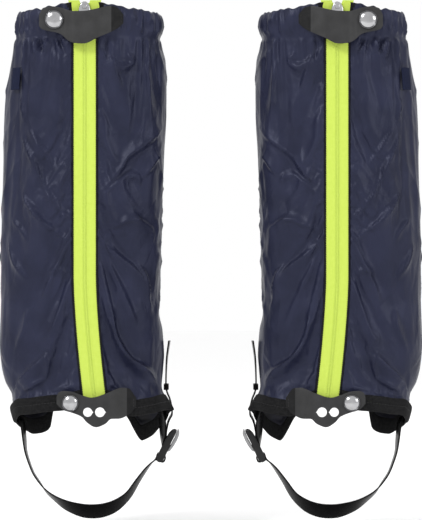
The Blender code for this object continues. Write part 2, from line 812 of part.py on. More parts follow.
def build_stirrup(gaiter):
    """Instep strap, adjuster, buckle, the tail in its keeper and the strap's sewn anchor."""
    swing = gaiter.pivot("stirrup_pivot", (0, STRAP_Y, SWING_Z))
    lower_bar = (-BUCKLE_HEIGHT / 2 + LOWER_WINDOW[0]) / 2 / MM
    loop = [buckle_point(across, lower_bar + along) for across, along in INSTEP_LOOP]
    centres = [(x, z) for x, z, roll in INSTEP_ROUTE] + loop
    rolls = [roll for x, z, roll in INSTEP_ROUTE] + [0] * len(loop)
    ribbon(gaiter, "instep_strap", centres, rolls, swing)
    centres = [(x, z) for x, z, roll in ADJUSTER_ROUTE]
    rolls = [roll for x, z, roll in ADJUSTER_ROUTE]
    ribbon(gaiter, "adjuster_strap", centres, rolls, swing)

    middle_bar = (LOWER_WINDOW[1] + UPPER_WINDOW[0]) / 2 / MM
    bar_x, bar_z = buckle_point(0, middle_bar)
    tilt = gaiter.pivot("buckle_pivot", (bar_x * MM, STRAP_Y, bar_z * MM), swing)
    plate = box_mesh("buckle", (BUCKLE_THICKNESS, BUCKLE_WIDTH, BUCKLE_HEIGHT))
    centre = (BUCKLE_CENTRE[0], STRAP_Y, BUCKLE_CENTRE[1])
    lean = (0, BUCKLE_LEAN, 0)
    buckle = gaiter.add("buckle", plate, "plastic", tilt, centre, lean)
    for number, (low, high) in enumerate((LOWER_WINDOW, UPPER_WINDOW)):
        window = box_mesh("buckle_window", (3 * BUCKLE_THICKNESS, WINDOW_WIDTH, high - low))
        x, z = buckle_point(0, (low + high) / 2 / MM)
        cutting = gaiter.guide(window, f"buckle_window_{number}", (x * MM, STRAP_Y, z * MM), lean, tilt)
        gaiter.cutter(buckle, cutting, f"window_{number}")
    for word, sign in (("inner", -1), ("outer", 1)):
        relief = box_mesh("bar_relief", (BUCKLE_THICKNESS, BAR_RELIEF_WIDTH, 2 * BUCKLE_HEIGHT))
        x, z = buckle_point(sign * (BAR_THICKNESS + BUCKLE_THICKNESS) / 2 / MM, 0)
        cutting = gaiter.guide(relief, f"bar_relief_{word}", (x * MM, STRAP_Y, z * MM), lean, tilt)
        gaiter.cutter(buckle, cutting, f"relief_{word}")
    soften(buckle, BUCKLE_ROUND, 1)

    ribbon(gaiter, "strap_tail", TAIL_ROUTE, [0] * len(TAIL_ROUTE))
    keeper_place = (KEEPER_CENTRE[0], STRAP_Y, KEEPER_CENTRE[1])
    keeper = box_mesh("strap_keeper", KEEPER_SIZE)
    keeper = gaiter.add("strap_keeper", keeper, "webbing", None, keeper_place)
    hole = box_mesh("keeper_hole", (*KEEPER_HOLE, 3 * KEEPER_SIZE[2]))
    gaiter.cutter(keeper, gaiter.guide(hole, "keeper_hole", keeper_place))

    def anchor_place(i, j):
        low, high = ANCHOR_SPAN
        bottom, top = ANCHOR_HEIGHTS
        z = bottom + (top - bottom) * j
        return wall(panel_distance(low + (high - low) * i / 3, z), z, ANCHOR_OFFSET)

    anchor = gaiter.add("strap_anchor", grid_mesh("strap_anchor", 3, 1, anchor_place), "webbing")
    thicken(anchor, STRAP_THICKNESS)


def build_label(gaiter):
    def place(i, j):
        low, high = LABEL_SPAN
        bottom, top = LABEL_HEIGHTS
        z = bottom + (top - bottom) * j / 2
        return wall(panel_distance(low + (high - low) * i / 3, z), z, LABEL_PROUD + LABEL_THICKNESS)

    label = gaiter.add("side_label", grid_mesh("side_label", 3, 2, place), "label")
    thicken(label, LABEL_THICKNESS)


def main():
    clear_scene()
    collection = make_collection("gaiters")
    guides = make_collection("guides")
    materials = {
        "shell": make_material("navy_nylon", (0.036, 0.040, 0.063), 0.42),
        "binding": make_material("black_binding", (0.016, 0.016, 0.018), 0.8),
        "elastic": make_material("black_elastic", (0.02, 0.02, 0.022), 0.85),
        "tape": make_material("neon_zip_tape", (0.66, 0.86, 0.12), 0.6),
        "coil": make_material("neon_zip_coil", (0.60, 0.82, 0.10), 0.4),
        "metal": make_material("nickel", (0.72, 0.72, 0.74), 0.25, 1.0),
        "leather": make_material("black_leatherette", (0.07, 0.07, 0.072), 0.6),
        "webbing": make_material("black_webbing", (0.009, 0.009, 0.01), 0.5),
        "plastic": make_material("grey_plastic", (0.10, 0.10, 0.11), 0.4),
        "label": make_material("blank_label", (0.02, 0.025, 0.06), 0.75),
    }
    for side, mirrored in (("left", False), ("right", True)):
        gaiter = Gaiter(side, collection, guides, materials, mirrored)
        build_shell(gaiter)
        build_top(gaiter)
        build_zip(gaiter)
        build_tabs(gaiter)
        build_stirrup(gaiter)
        build_label(gaiter)


main()
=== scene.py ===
"""Looks for the pair of hiking gaiters: gathered nylon shells, zips, tabs, press studs and stirrups.

Everything is modelled once, for the left gaiter, in millimetres in that gaiter's own frame, whose
origin is under the leg at the height of the front hem. place_pair then makes the left piece and its
mirror image on the right gaiter.
"""

import math

import bmesh
import bpy
import numpy as np
from mathutils import Matrix, Vector, noise


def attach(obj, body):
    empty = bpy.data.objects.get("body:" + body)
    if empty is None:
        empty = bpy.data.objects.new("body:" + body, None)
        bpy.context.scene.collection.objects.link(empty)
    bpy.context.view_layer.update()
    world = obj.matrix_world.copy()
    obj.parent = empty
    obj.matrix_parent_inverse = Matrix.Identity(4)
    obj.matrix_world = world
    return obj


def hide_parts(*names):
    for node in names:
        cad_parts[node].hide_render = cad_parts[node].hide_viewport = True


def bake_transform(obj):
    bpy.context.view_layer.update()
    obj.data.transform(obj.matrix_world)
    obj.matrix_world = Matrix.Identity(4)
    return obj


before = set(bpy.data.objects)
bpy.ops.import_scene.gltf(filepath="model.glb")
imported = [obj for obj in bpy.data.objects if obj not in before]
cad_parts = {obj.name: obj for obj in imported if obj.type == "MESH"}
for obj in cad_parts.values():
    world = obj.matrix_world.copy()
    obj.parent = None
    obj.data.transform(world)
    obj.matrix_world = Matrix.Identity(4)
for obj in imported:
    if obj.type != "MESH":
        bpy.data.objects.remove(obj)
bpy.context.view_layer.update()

MM = 0.001
HALF_SPACING = 134 * MM
STAGE_Z = -0.125
FLOOR_HALF = 9000

# The leg section: height, left side, right side and back depth of the wall's outer face
SECTIONS = np.array(
    (
        (-36, -63, 87, 46), (-10, -70, 88, 46), (0, -73, 88.5, 46), (20, -76.5, 84, 47),
        (50, -83.5, 80.5, 50), (75, -84.5, 80, 52), (135, -81, 81, 55), (200, -83, 82, 58),
        (260, -83.5, 86, 60), (320, -80.5, 88.5, 58), (365, -74.5, 88, 54), (386, -69.5, 82, 51),
        (402, -67.5, 82, 51), (425, -66, 79, 50),
    )
)
FRONT_DEPTH = 52.0
SQUARENESS = 2.6

# The hem's lower edge: share of the way round from the zip, and height
HEM_EDGE = np.array(
    (
        (0.0, 8), (0.06, -3), (0.1, -1), (0.18, 2), (0.205, 0.5), (0.22, -4), (0.25, -10.5),
        (0.27, -14.5), (0.29, -19.7), (0.313, -27.3), (0.336, -31.5), (0.345, -32.6), (0.352, -30.8),
        (0.365, -23), (0.386, -8), (0.41, 3), (0.44, 5), (0.5, 6), (0.57, 4), (0.583, -8),
        (0.593, -18.8), (0.607, -23), (0.624, -24.9), (0.646, -25.1), (0.667, -21.8), (0.692, -17.4),
        (0.714, -13.5), (0.74, -12), (0.77, -11), (0.8, -6), (0.83, -2), (0.86, -1), (0.9, 1.4),
        (0.95, 3.4), (1.0, 8),
    )
)
HEM_HEIGHT = 16.0
PANEL_START = 13.7
CASING_BOTTOM = 386.0
CASING_TOP = 416.5
CASING_TOP_WAVE = 3.5

# The zip
ZIP_X = 4.8
ZIP_BEND_Z = 140.0
ZIP_BEND_RUN = 119.0
ZIP_BEND_SHIFT = 9.4
ZIP_BOTTOM = 12.0
ZIP_TOP = 423.0
FLARE_START = 395.0
FLARE_SHIFT = 5.2


def pchip(table, at):
    """Values read from an array of (place, value) along a curve that never overshoots."""
    places, values = table[:, 0].astype(float), table[:, 1].astype(float)
    at = np.clip(np.asarray(at, float), places[0], places[-1])
    runs = np.diff(places)
    slopes = np.diff(values) / runs
    before, after = slopes[:-1], slopes[1:]
    same = before * after > 0
    inner = np.where(same, 2 * before * after / np.where(same, before + after, 1.0), 0.0)
    gradients = np.concatenate([slopes[:1], inner, slopes[-1:]])
    low = np.clip(np.searchsorted(places, at, side="right") - 1, 0, len(runs) - 1)
    t = (at - places[low]) / runs[low]
    return (
        values[low] * (2 * t**3 - 3 * t**2 + 1)
        + gradients[low] * runs[low] * (t**3 - 2 * t**2 + t)
        + values[low + 1] * (3 * t**2 - 2 * t**3)
        + gradients[low + 1] * runs[low] * (t**3 - t**2)
    )


def zip_x(z):
    return ZIP_X + ZIP_BEND_SHIFT * (np.maximum(0.0, ZIP_BEND_Z - z) / ZIP_BEND_RUN) ** 1.5


def flare(z):
    return FLARE_SHIFT * (np.maximum(0.0, z - FLARE_START) / (ZIP_TOP - FLARE_START)) ** 1.6


class Wall:
    """The wall's outer face as a table over height and share of the way round from the zip's centre."""

    LEVELS = np.arange(-40.0, 430.0, 2.0)
    SHARES = np.linspace(0, 1, 721)

    def __init__(self):
        count = len(self.LEVELS)
        self.x = np.zeros((count, len(self.SHARES)))
        self.y = np.zeros_like(self.x)
        self.girths = np.zeros(count)
        for row, z in enumerate(self.LEVELS):
            left, right, back = (float(pchip(SECTIONS[:, (0, k)], z)) for k in (1, 2, 3))
            centre, half = (left + right) / 2, (right - left) / 2
            start = (float(zip_x(z)) - centre) / half
            first = math.asin(math.copysign(abs(start) ** (SQUARENESS / 2), start))
            angles = first + np.linspace(0, 2 * math.pi, 721)
            sines, cosines = np.sin(angles), np.cos(angles)
            x = centre + half * np.sign(sines) * np.abs(sines) ** (2 / SQUARENESS)
            depth = np.where(cosines > 0, FRONT_DEPTH, back)
            y = -depth * np.sign(cosines) * np.abs(cosines) ** (2 / SQUARENESS)
            lengths = np.concatenate([[0], np.cumsum(np.hypot(np.diff(x), np.diff(y)))])
            self.girths[row] = lengths[-1]
            self.x[row] = np.interp(self.SHARES * lengths[-1], lengths, x)
            self.y[row] = np.interp(self.SHARES * lengths[-1], lengths, y)

    def girth(self, z):
        return np.interp(z, self.LEVELS, self.girths)

    def _read(self, share, z):
        across = (share % 1.0) * (len(self.SHARES) - 1)
        up = np.clip((z - self.LEVELS[0]) / 2.0, 0, len(self.LEVELS) - 1.001)
        i, j = up.astype(int), np.minimum(across.astype(int), len(self.SHARES) - 2)
        u, v = up - i, across - j
        out = []
        for table in (self.x, self.y):
            low = table[i, j] * (1 - v) + table[i, j + 1] * v
            high = table[i + 1, j] * (1 - v) + table[i + 1, j + 1] * v
            out.append(low * (1 - u) + high * u)
        return out

    def point(self, distance, z, proud=0.0):
        """Points of the wall, pushed out by proud, as an array of x, y, z in millimetres."""
        distance, z, proud = np.broadcast_arrays(
            np.asarray(distance, float), np.asarray(z, float), np.asarray(proud, float)
        )
        girth = self.girth(z)
        x, y = self._read(distance / girth, z)
        ax, ay = self._read((distance - 2.0) / girth, z)
        bx, by = self._read((distance + 2.0) / girth, z)
        nx, ny = by - ay, ax - bx
        size = np.hypot(nx, ny)
        return np.stack([x + nx / size * proud, y + ny / size * proud, z], axis=-1)


wall = Wall()


def hem_edge(share):
    return pchip(HEM_EDGE, share)


def casing_top(share):
    return (
        CASING_TOP
        + CASING_TOP_WAVE * np.cos(4 * np.pi * share)
        - CASING_TOP_WAVE * np.cos(2 * np.pi * share)
    )


# ---------------------------------------------------------------- materials


class Look:
    """A procedural material: a Principled shader whose colour, roughness and bump come from its nodes."""

    def __init__(self, name, colour, roughness, metallic=0.0, **shader_values):
        self.material = bpy.data.materials.new(name)
        self.material.use_nodes = True
        self.nodes = self.material.node_tree.nodes
        self.links = self.material.node_tree.links
        self.shader = self.nodes["Principled BSDF"]
        self.shader.inputs["Base Color"].default_value = (*colour, 1)
        self.shader.inputs["Roughness"].default_value = roughness
        self.shader.inputs["Metallic"].default_value = metallic
        for key, value in shader_values.items():
            self.shader.inputs[key.replace("_", " ")].default_value = value
        self.place = self.nodes.new("ShaderNodeTexCoord").outputs["Object"]
        self.height = None

    def node(self, kind, output, inputs, **settings):
        """One output of a new node, whose inputs are set to values or linked to other outputs."""
        made = self.nodes.new(f"ShaderNode{kind}")
        for key, value in settings.items():
            setattr(made, key, value)
        for key, value in inputs.items():
            if isinstance(value, bpy.types.NodeSocket):
                self.links.new(value, made.inputs[key])
            else:
                made.inputs[key].default_value = value
        return made.outputs[output]

    def scaled(self, size, stretch):
        return self.node("Mapping", "Vector", {"Vector": self.place, "Scale": [s / size for s in stretch]})

    def noise(self, size, detail=4.0, stretch=(1, 1, 1)):
        """Noise whose features measure about size metres."""
        place = self.scaled(size, stretch)
        return self.node("TexNoise", "Fac", {"Vector": place, "Scale": 1.0, "Detail": detail})

    def wave(self, pitch, axis):
        """Ribs with this pitch in metres across the axis."""
        inputs = {"Vector": self.place, "Scale": 0.314 / pitch, "Distortion": 0.0}
        return self.node("TexWave", "Fac", inputs, bands_direction=axis)

    def crumple(self, size, warp, stretch=(1, 1, 1)):
        """Flat facets with crisp edges, about size metres across."""
        place = self.scaled(size, stretch)
        bend = self.node("TexNoise", "Color", {"Vector": place, "Scale": 0.45, "Detail": 2.0})
        inputs = {0: bend, 1: (warp, warp, warp), 2: place}
        bent = self.node("VectorMath", "Vector", inputs, operation="MULTIPLY_ADD")
        turned_place = self.node("Mapping", "Vector", {"Vector": bent, "Rotation": (0.5, 0.62, 0.35)})
        inputs = {"Vector": turned_place, "Scale": 1.0}
        return self.node("TexVoronoi", "Distance", inputs, distance="CHEBYCHEV")

    def colour(self, factor, low, high):
        ramp = self.nodes.new("ShaderNodeValToRGB")
        for stop, place, colour in zip(ramp.color_ramp.elements, (0.35, 0.65), (low, high)):
            stop.position = place
            stop.color = (*colour, 1)
        self.links.new(factor, ramp.inputs["Fac"])
        self.links.new(ramp.outputs["Color"], self.shader.inputs["Base Color"])

    def rough(self, factor, low, high):
        spread = self.node("MapRange", "Result", {"Value": factor, "To Min": low, "To Max": high})
        self.links.new(spread, self.shader.inputs["Roughness"])

    def bump(self, height, depth, strength=1.0):
        inputs = {"Height": height, "Distance": depth, "Strength": strength}
        if self.height is not None:
            inputs["Normal"] = self.height
        self.height = self.node("Bump", "Normal", inputs)
        self.links.new(self.height, self.shader.inputs["Normal"])


# Each look: its shader's values, then the textures that drive its colour, roughness and bump
LOOK_TABLE = {
    "nylon": (("navy_nylon", (0.014, 0.016, 0.034), 0.4), {
        "Specular_IOR_Level": 0.22,
        "Specular_Tint": (0.74, 0.78, 1.0, 1),
    }, (
        ("colour", "noise", (0.03, 5), ((0.0095, 0.0108, 0.0245), (0.0145, 0.0163, 0.0355))),
        ("rough", "noise", (0.012, 3), (0.33, 0.46)),
        ("bump", "crumple", (0.05, 1.6, (1, 1, 0.55)), (0.008, 0.8)),
        ("bump", "crumple", (0.017, 1.4, (1, 1, 0.6)), (0.0016, 0.6)),
        ("bump", "noise", (0.006, 5, (1, 1, 0.7)), (0.0003, 0.4)),
        ("bump", "wave", (0.0007, "Z"), (0.00004, 0.5)),
        ("bump", "wave", (0.0007, "X"), (0.00004, 0.5)),
    )),
    "lining": (("black_coated_lining", (0.008, 0.008, 0.012), 0.55), {"Specular_IOR_Level": 0.25}, (
        ("colour", "noise", (0.02, 4), ((0.005, 0.005, 0.007), (0.010, 0.010, 0.018))),
        ("bump", "noise", (0.008, 4), (0.0006, 0.4)),
    )),
    "binding": (("black_binding", (0.006, 0.006, 0.0065), 0.8), {"Specular_IOR_Level": 0.12}, (
        ("colour", "noise", (0.002, 3), ((0.004, 0.004, 0.0045), (0.010, 0.010, 0.0105))),
        ("bump", "wave", (0.0011, "Z"), (0.00012, 0.7)),
        ("bump", "wave", (0.0011, "X"), (0.00010, 0.6)),
        ("bump", "noise", (0.004, 3), (0.0004, 0.4)),
    )),
    "tape": (("neon_tape", (0.48, 0.6, 0.085), 0.75), {"Specular_IOR_Level": 0.1}, (
        ("colour", "noise", (0.004, 4), ((0.44, 0.56, 0.083), (0.46, 0.58, 0.093))),
        ("bump", "wave", (0.0008, "Z"), (0.00006, 0.6)),
        ("bump", "wave", (0.0012, "X"), (0.00008, 0.6)),
    )),
    "coil": (("neon_coil", (0.48, 0.6, 0.085), 0.55), {"Specular_IOR_Level": 0.2}, (
        ("colour", "noise", (0.002, 2), ((0.44, 0.56, 0.083), (0.46, 0.58, 0.093))),
        ("bump", "noise", (0.0008, 2), (0.00005, 0.4)),
    )),
    "nickel": (("satin_nickel", (0.4, 0.4, 0.41), 0.2, 1.0), {}, (
        ("colour", "noise", (0.01, 4), ((0.36, 0.36, 0.37), (0.45, 0.45, 0.46))),
        ("rough", "noise", (0.0015, 4), (0.14, 0.24)),
        ("bump", "noise", (0.0006, 3), (0.00001, 0.5)),
    )),
    "leather": (("black_leatherette", (0.018, 0.018, 0.019), 0.48), {"Specular_IOR_Level": 0.3}, (
        ("colour", "noise", (0.012, 4), ((0.014, 0.014, 0.0145), (0.022, 0.022, 0.023))),
        ("rough", "noise", (0.001, 3), (0.46, 0.62)),
        ("bump", "noise", (0.0009, 3), (0.00010, 0.6)),
        ("bump", "noise", (0.00035, 2), (0.00005, 0.5)),
    )),
    # Painted shade: a darker copy of the leatherette, put on each tab's end past its fold where the tab turns
    # away from the key light
    "leather_painted_shade": (("leatherette_painted_shade", (0.007, 0.007, 0.0075), 0.6), {"Specular_IOR_Level": 0.15}, (
        ("colour", "noise", (0.006, 4), ((0.005, 0.005, 0.0055), (0.009, 0.009, 0.0095))),
        ("bump", "noise", (0.0009, 3), (0.00010, 0.6)),
    )),
    "strap": (("black_strap", (0.002, 0.002, 0.002), 0.3), {"Specular_IOR_Level": 0.04}, (
        ("colour", "noise", (0.004, 3), ((0.0012, 0.0012, 0.0014), (0.0026, 0.0026, 0.0028))),
        ("rough", "noise", (0.003, 3), (0.22, 0.34)),
        ("bump", "noise", (0.0007, 2), (0.00004, 0.4)),
    )),
    "plastic": (("grey_acetal", (0.013, 0.013, 0.0135), 0.42), {"Specular_IOR_Level": 0.2}, (
        ("colour", "noise", (0.01, 3), ((0.010, 0.010, 0.0105), (0.016, 0.016, 0.0165))),
        ("bump", "noise", (0.0006, 3), (0.00003, 0.5)),
    )),
    # Painted highlight: a pale copy of the buckle's acetal, standing in for the light caught on the buckle's
    # lip
    "plastic_painted_highlight": (("acetal_painted_highlight", (0.22, 0.22, 0.225), 0.32), {}, (
        ("colour", "noise", (0.01, 3), ((0.20, 0.20, 0.205), (0.25, 0.25, 0.255))),
        ("bump", "noise", (0.0006, 3), (0.00003, 0.5)),
    )),
    # Painted shade: a darker copy of the satin nickel, put on the rim of each press-stud cap
    "nickel_painted_shade": (("nickel_painted_shade", (0.09, 0.09, 0.095), 0.26, 1.0), {}, (
        ("colour", "noise", (0.004, 3), ((0.075, 0.075, 0.08), (0.11, 0.11, 0.115))),
        ("bump", "noise", (0.0006, 3), (0.00001, 0.5)),
    )),
    "label": (("blank_label", (0.006, 0.009, 0.026), 0.85), {"Specular_IOR_Level": 0.15}, (
        ("colour", "noise", (0.0015, 3), ((0.005, 0.007, 0.021), (0.008, 0.011, 0.030))),
        ("bump", "wave", (0.0006, "Z"), (0.00008, 0.7)),
    )),
    "thread": (("black_thread", (0.014, 0.014, 0.015), 0.6), {"Specular_IOR_Level": 0.3}, (
        ("colour", "noise", (0.001, 2), ((0.010, 0.010, 0.011), (0.022, 0.022, 0.023))),
        ("bump", "noise", (0.0003, 2), (0.00005, 0.5)),
    )),
}


def made_look(shader, values, textures):
    look = Look(*shader, **values)
    for target, kind, settings, response in textures:
        getattr(look, target)(getattr(look, kind)(*settings), *response)
    return look.material


LOOKS = {name: made_look(*row) for name, row in LOOK_TABLE.items()}


# ---------------------------------------------------------------- mesh helpers


def linked(name, data):
    obj = bpy.data.objects.new(name, data)
    bpy.context.scene.collection.objects.link(obj)
    return obj


def new_object(name, points, faces, looks, sharp=40):
    """An object from points in millimetres."""
    mesh = bpy.data.meshes.new(name)
    mesh.from_pydata([tuple(float(c) * MM for c in p) for p in points], [], faces)
    for look in looks:
        mesh.materials.append(LOOKS[look])
    mesh.shade_smooth()
    mesh.set_sharp_from_angle(angle=math.radians(sharp))
    return linked(name, mesh)


def grid_faces(columns, rows, wrap=False):
    """Quads of a grid stored column by column, rows + 1 points each, or rows points when it wraps."""
    across = rows if wrap else rows + 1
    faces = []
    for i in range(columns):
        for j in range(rows):
            above = (j + 1) % across
            faces.append((i * across + j, (i + 1) * across + j, (i + 1) * across + above, i * across + above))
    return faces


def sweep(name, sections, looks, sharp=40):
    """A closed solid through a list of closed sections, each an array of points, with flat ends."""
    count = len(sections[0])
    points = np.concatenate(sections)
    faces = grid_faces(len(sections) - 1, count, wrap=True)
    last = (len(sections) - 1) * count
    faces.append(tuple(range(count - 1, -1, -1)))
    faces.append(tuple(last + k for k in range(count)))
    obj = new_object(name, points, faces, looks, sharp)
    tidy_normals(obj)
    return obj


def closed_object(name, points, faces, look, sharp):
    """An object of one look, its faces turned outwards."""
    obj = new_object(name, points, faces, [look], sharp)
    tidy_normals(obj)
    return obj


def tidy_normals(obj):
    work = bmesh.new()
    work.from_mesh(obj.data)
    bmesh.ops.recalc_face_normals(work, faces=work.faces)
    work.to_mesh(obj.data)
    work.free()


def turned(outline, steps, closed):
    """Points and faces of a (radius, height) outline turned round -Y, open or a closed loop."""
    count = len(outline)
    points, faces = [], []
    for k in range(steps):
        angle = 2 * math.pi * k / steps
        points += [(r * math.cos(angle), -h, r * math.sin(angle)) for r, h in outline]
        here, ahead = k * count, (k + 1) % steps * count
        for m in range(count if closed else count - 1):
            after = (m + 1) % count
            faces.append((here + m, here + after, ahead + after, ahead + m))
    return points, faces


def lathe(name, profile, steps, look, sharp=30):
    """A turned piece facing -Y, from (radius, height) pairs that start and end on the axis."""
    points, faces = turned(profile[1:-1], steps, False)
    count, top = len(profile) - 2, len(points)
    points += [(0, -profile[0][1], 0), (0, -profile[-1][1], 0)]
    for k in range(steps):
        ahead = (k + 1) % steps
        faces.append((top, k * count, ahead * count))
        faces.append((top + 1, ahead * count + count - 1, k * count + count - 1))
    return closed_object(name, points, faces, look, sharp)


def ring_lathe(name, profile, steps, look):
    """A turned ring facing -Y, from a closed loop of (radius, height)."""
    return closed_object(name, *turned(profile, steps, True), look, 30)


def rounded_box(name, size, radius, look, segments=3):
    obj = new_object(name, [(0, 0, 0)], [], [look])
    work = bmesh.new()
    bmesh.ops.create_cube(work, size=1.0)
    bmesh.ops.scale(work, vec=[s * MM for s in size], verts=work.verts)
    edges = list(work.edges)
    bmesh.ops.bevel(work, geom=edges, offset=radius * MM, segments=segments, profile=0.5, affect="EDGES",
                    clamp_overlap=True)
    work.to_mesh(obj.data)
    work.free()
    obj.data.shade_smooth()
    obj.data.set_sharp_from_angle(angle=math.radians(35))
    return obj


def modify(obj, kind, **values):
    """A modifier on the object, with these settings."""
    modifier = obj.modifiers.new(kind.lower(), kind)
    for key, value in values.items():
        setattr(modifier, key, value)
    return modifier


def moved(obj, place, rotation=(0, 0, 0)):
    obj.location = Vector(place) * MM
    obj.rotation_euler = rotation
    return obj


def joined(name, objects):
    """One object from several, with their places and modifiers applied."""
    bpy.context.view_layer.update()
    graph = bpy.context.evaluated_depsgraph_get()
    work = bmesh.new()
    looks = []
    for obj in objects:
        mesh = bpy.data.meshes.new_from_object(obj.evaluated_get(graph))
        mesh.transform(obj.matrix_world)
        for look in mesh.materials:
            if look not in looks:
                looks.append(look)
        own = [looks.index(look) for look in mesh.materials]
        before = len(work.faces)
        work.from_mesh(mesh)
        work.faces.ensure_lookup_table()
        for face in work.faces[before:]:
            face.material_index = own[face.material_index] if own else 0
        bpy.data.meshes.remove(mesh)
    mesh = bpy.data.meshes.new(name)
    work.to_mesh(mesh)
    work.free()
    for look in looks:
        mesh.materials.append(look)
    mesh.shade_smooth()
    mesh.set_sharp_from_angle(angle=math.radians(38))
    for obj in objects:
        bpy.data.objects.remove(obj, do_unlink=True)
    return linked(name, mesh)


def curve_points(points, per_span=8):
    """Points of a smooth curve through the given ones."""
    points = np.asarray(points, float)
    padded = np.concatenate([[2 * points[0] - points[1]], points, [2 * points[-1] - points[-2]]])
    out = []
    for k in range(len(points) - 1):
        a, b, c, d = padded[k : k + 4]
        for t in np.arange(per_span) / per_span:
            square, cube = 2 * a - 5 * b + 4 * c - d, 3 * b - a - 3 * c + d
            out.append(0.5 * (2 * b + (c - a) * t + square * t**2 + cube * t**3))
    out.append(points[-1])
    return np.array(out)


def tube_faces(base, rings):
    """Faces of a capped tube of six-sided rings, whose first point has the index base."""
    faces = []
    for start in range(base, base + (rings - 1) * 6, 6):
        for k in range(6):
            a, b = start + k, start + (k + 1) % 6
            faces.append((a, b, b + 6, a + 6))
    last = base + (rings - 1) * 6
    return faces + [tuple(range(base + 5, base - 1, -1)), tuple(range(last, last + 6))]


def stitches(name, points, outward, pitch=3.0, length=2.0, radius=0.24, look="thread"):
    """A row of raised thread stitches along a line of points."""
    points, outward = np.asarray(points, float), np.asarray(outward, float)
    lengths = np.concatenate([[0], np.cumsum(np.linalg.norm(np.diff(points, axis=0), axis=1))])
    verts, faces = [], []
    for start in np.arange(pitch * 0.5, lengths[-1] - length, pitch):
        ends = []
        for at in (start, start + length * 0.5, start + length):
            place = np.array([np.interp(at, lengths, points[:, k]) for k in range(3)])
            out = np.array([np.interp(at, lengths, outward[:, k]) for k in range(3)])
            ends.append((place, out / np.linalg.norm(out)))
        along = ends[2][0] - ends[0][0]
        along /= np.linalg.norm(along)
        base = len(verts)
        rings = ((0, 0.35, -0.1), (0, 0.9, 0.3), (1, 1.0, 0.75), (2, 0.9, 0.3), (2, 0.35, -0.1))
        for which, size, lift in rings:
            place, out = ends[which]
            side = np.cross(along, out)
            for k in range(6):
                angle = math.pi * k / 3
                verts.append(
                    place + radius * (size * (side * math.cos(angle) + out * math.sin(angle)) + out * lift)
                )
        faces += tube_faces(base, len(rings))
    return closed_object(name, verts, faces, look, 60)


def place_pair(master, name, body, replaces=(), blend=None):
    """The left piece and its mirror image, riding on their bodies; with blend, they are kept in place with
    their transforms baked instead.
    """
    bpy.context.view_layer.update()
    graph = bpy.context.evaluated_depsgraph_get()
    base = bpy.data.meshes.new_from_object(master.evaluated_get(graph))
    base.transform(master.matrix_world)
    bpy.data.objects.remove(master, do_unlink=True)
    made = []
    for side in ("left", "right"):
        mesh = base.copy()
        mesh.name = f"{side}_{name}"
        if side == "left":
            mesh.transform(Matrix.Translation((-HALF_SPACING, 0, 0)))
        else:
            mesh.transform(Matrix.Translation((HALF_SPACING, 0, 0)) @ Matrix.Scale(-1, 4, (1, 0, 0)))
            mesh.flip_normals()
        obj = linked(f"{side}_{name}", mesh)
        if blend:
            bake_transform(obj)
        else:
            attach(obj, f"{side}_{body}")
        if replaces:
            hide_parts(*[f"{side}_{node}" for node in replaces])
        made.append(obj)
    bpy.data.meshes.remove(base)
    return made


# ---------------------------------------------------------------- the fabric shell

COLUMNS = 236
BODY_ROWS = 176
CASING_ROWS = 20
FABRIC_START = 12.9
FABRIC_THICKNESS = 0.6
FOLD_GAIN = 2.7

# How much fuller than the wall the fabric hangs at the inner and outer sides, against height
INNER_FULLNESS = np.array(
    (
        (-40, 0), (20, 0), (60, 1.5), (130, 2.4), (220, 2.8), (330, 2.6), (372, 1.5), (392, -1.8),
        (425, -2.4),
    )
)
OUTER_FULLNESS = np.array(
    (
        (-40, 0), (22, 0), (40, 3.0), (62, 5.2), (84, 3.6), (108, -0.8), (200, 0.5), (270, 1.8),
        (345, 3.4), (376, 1.2), (392, -2.0), (425, -2.2),
    )
)

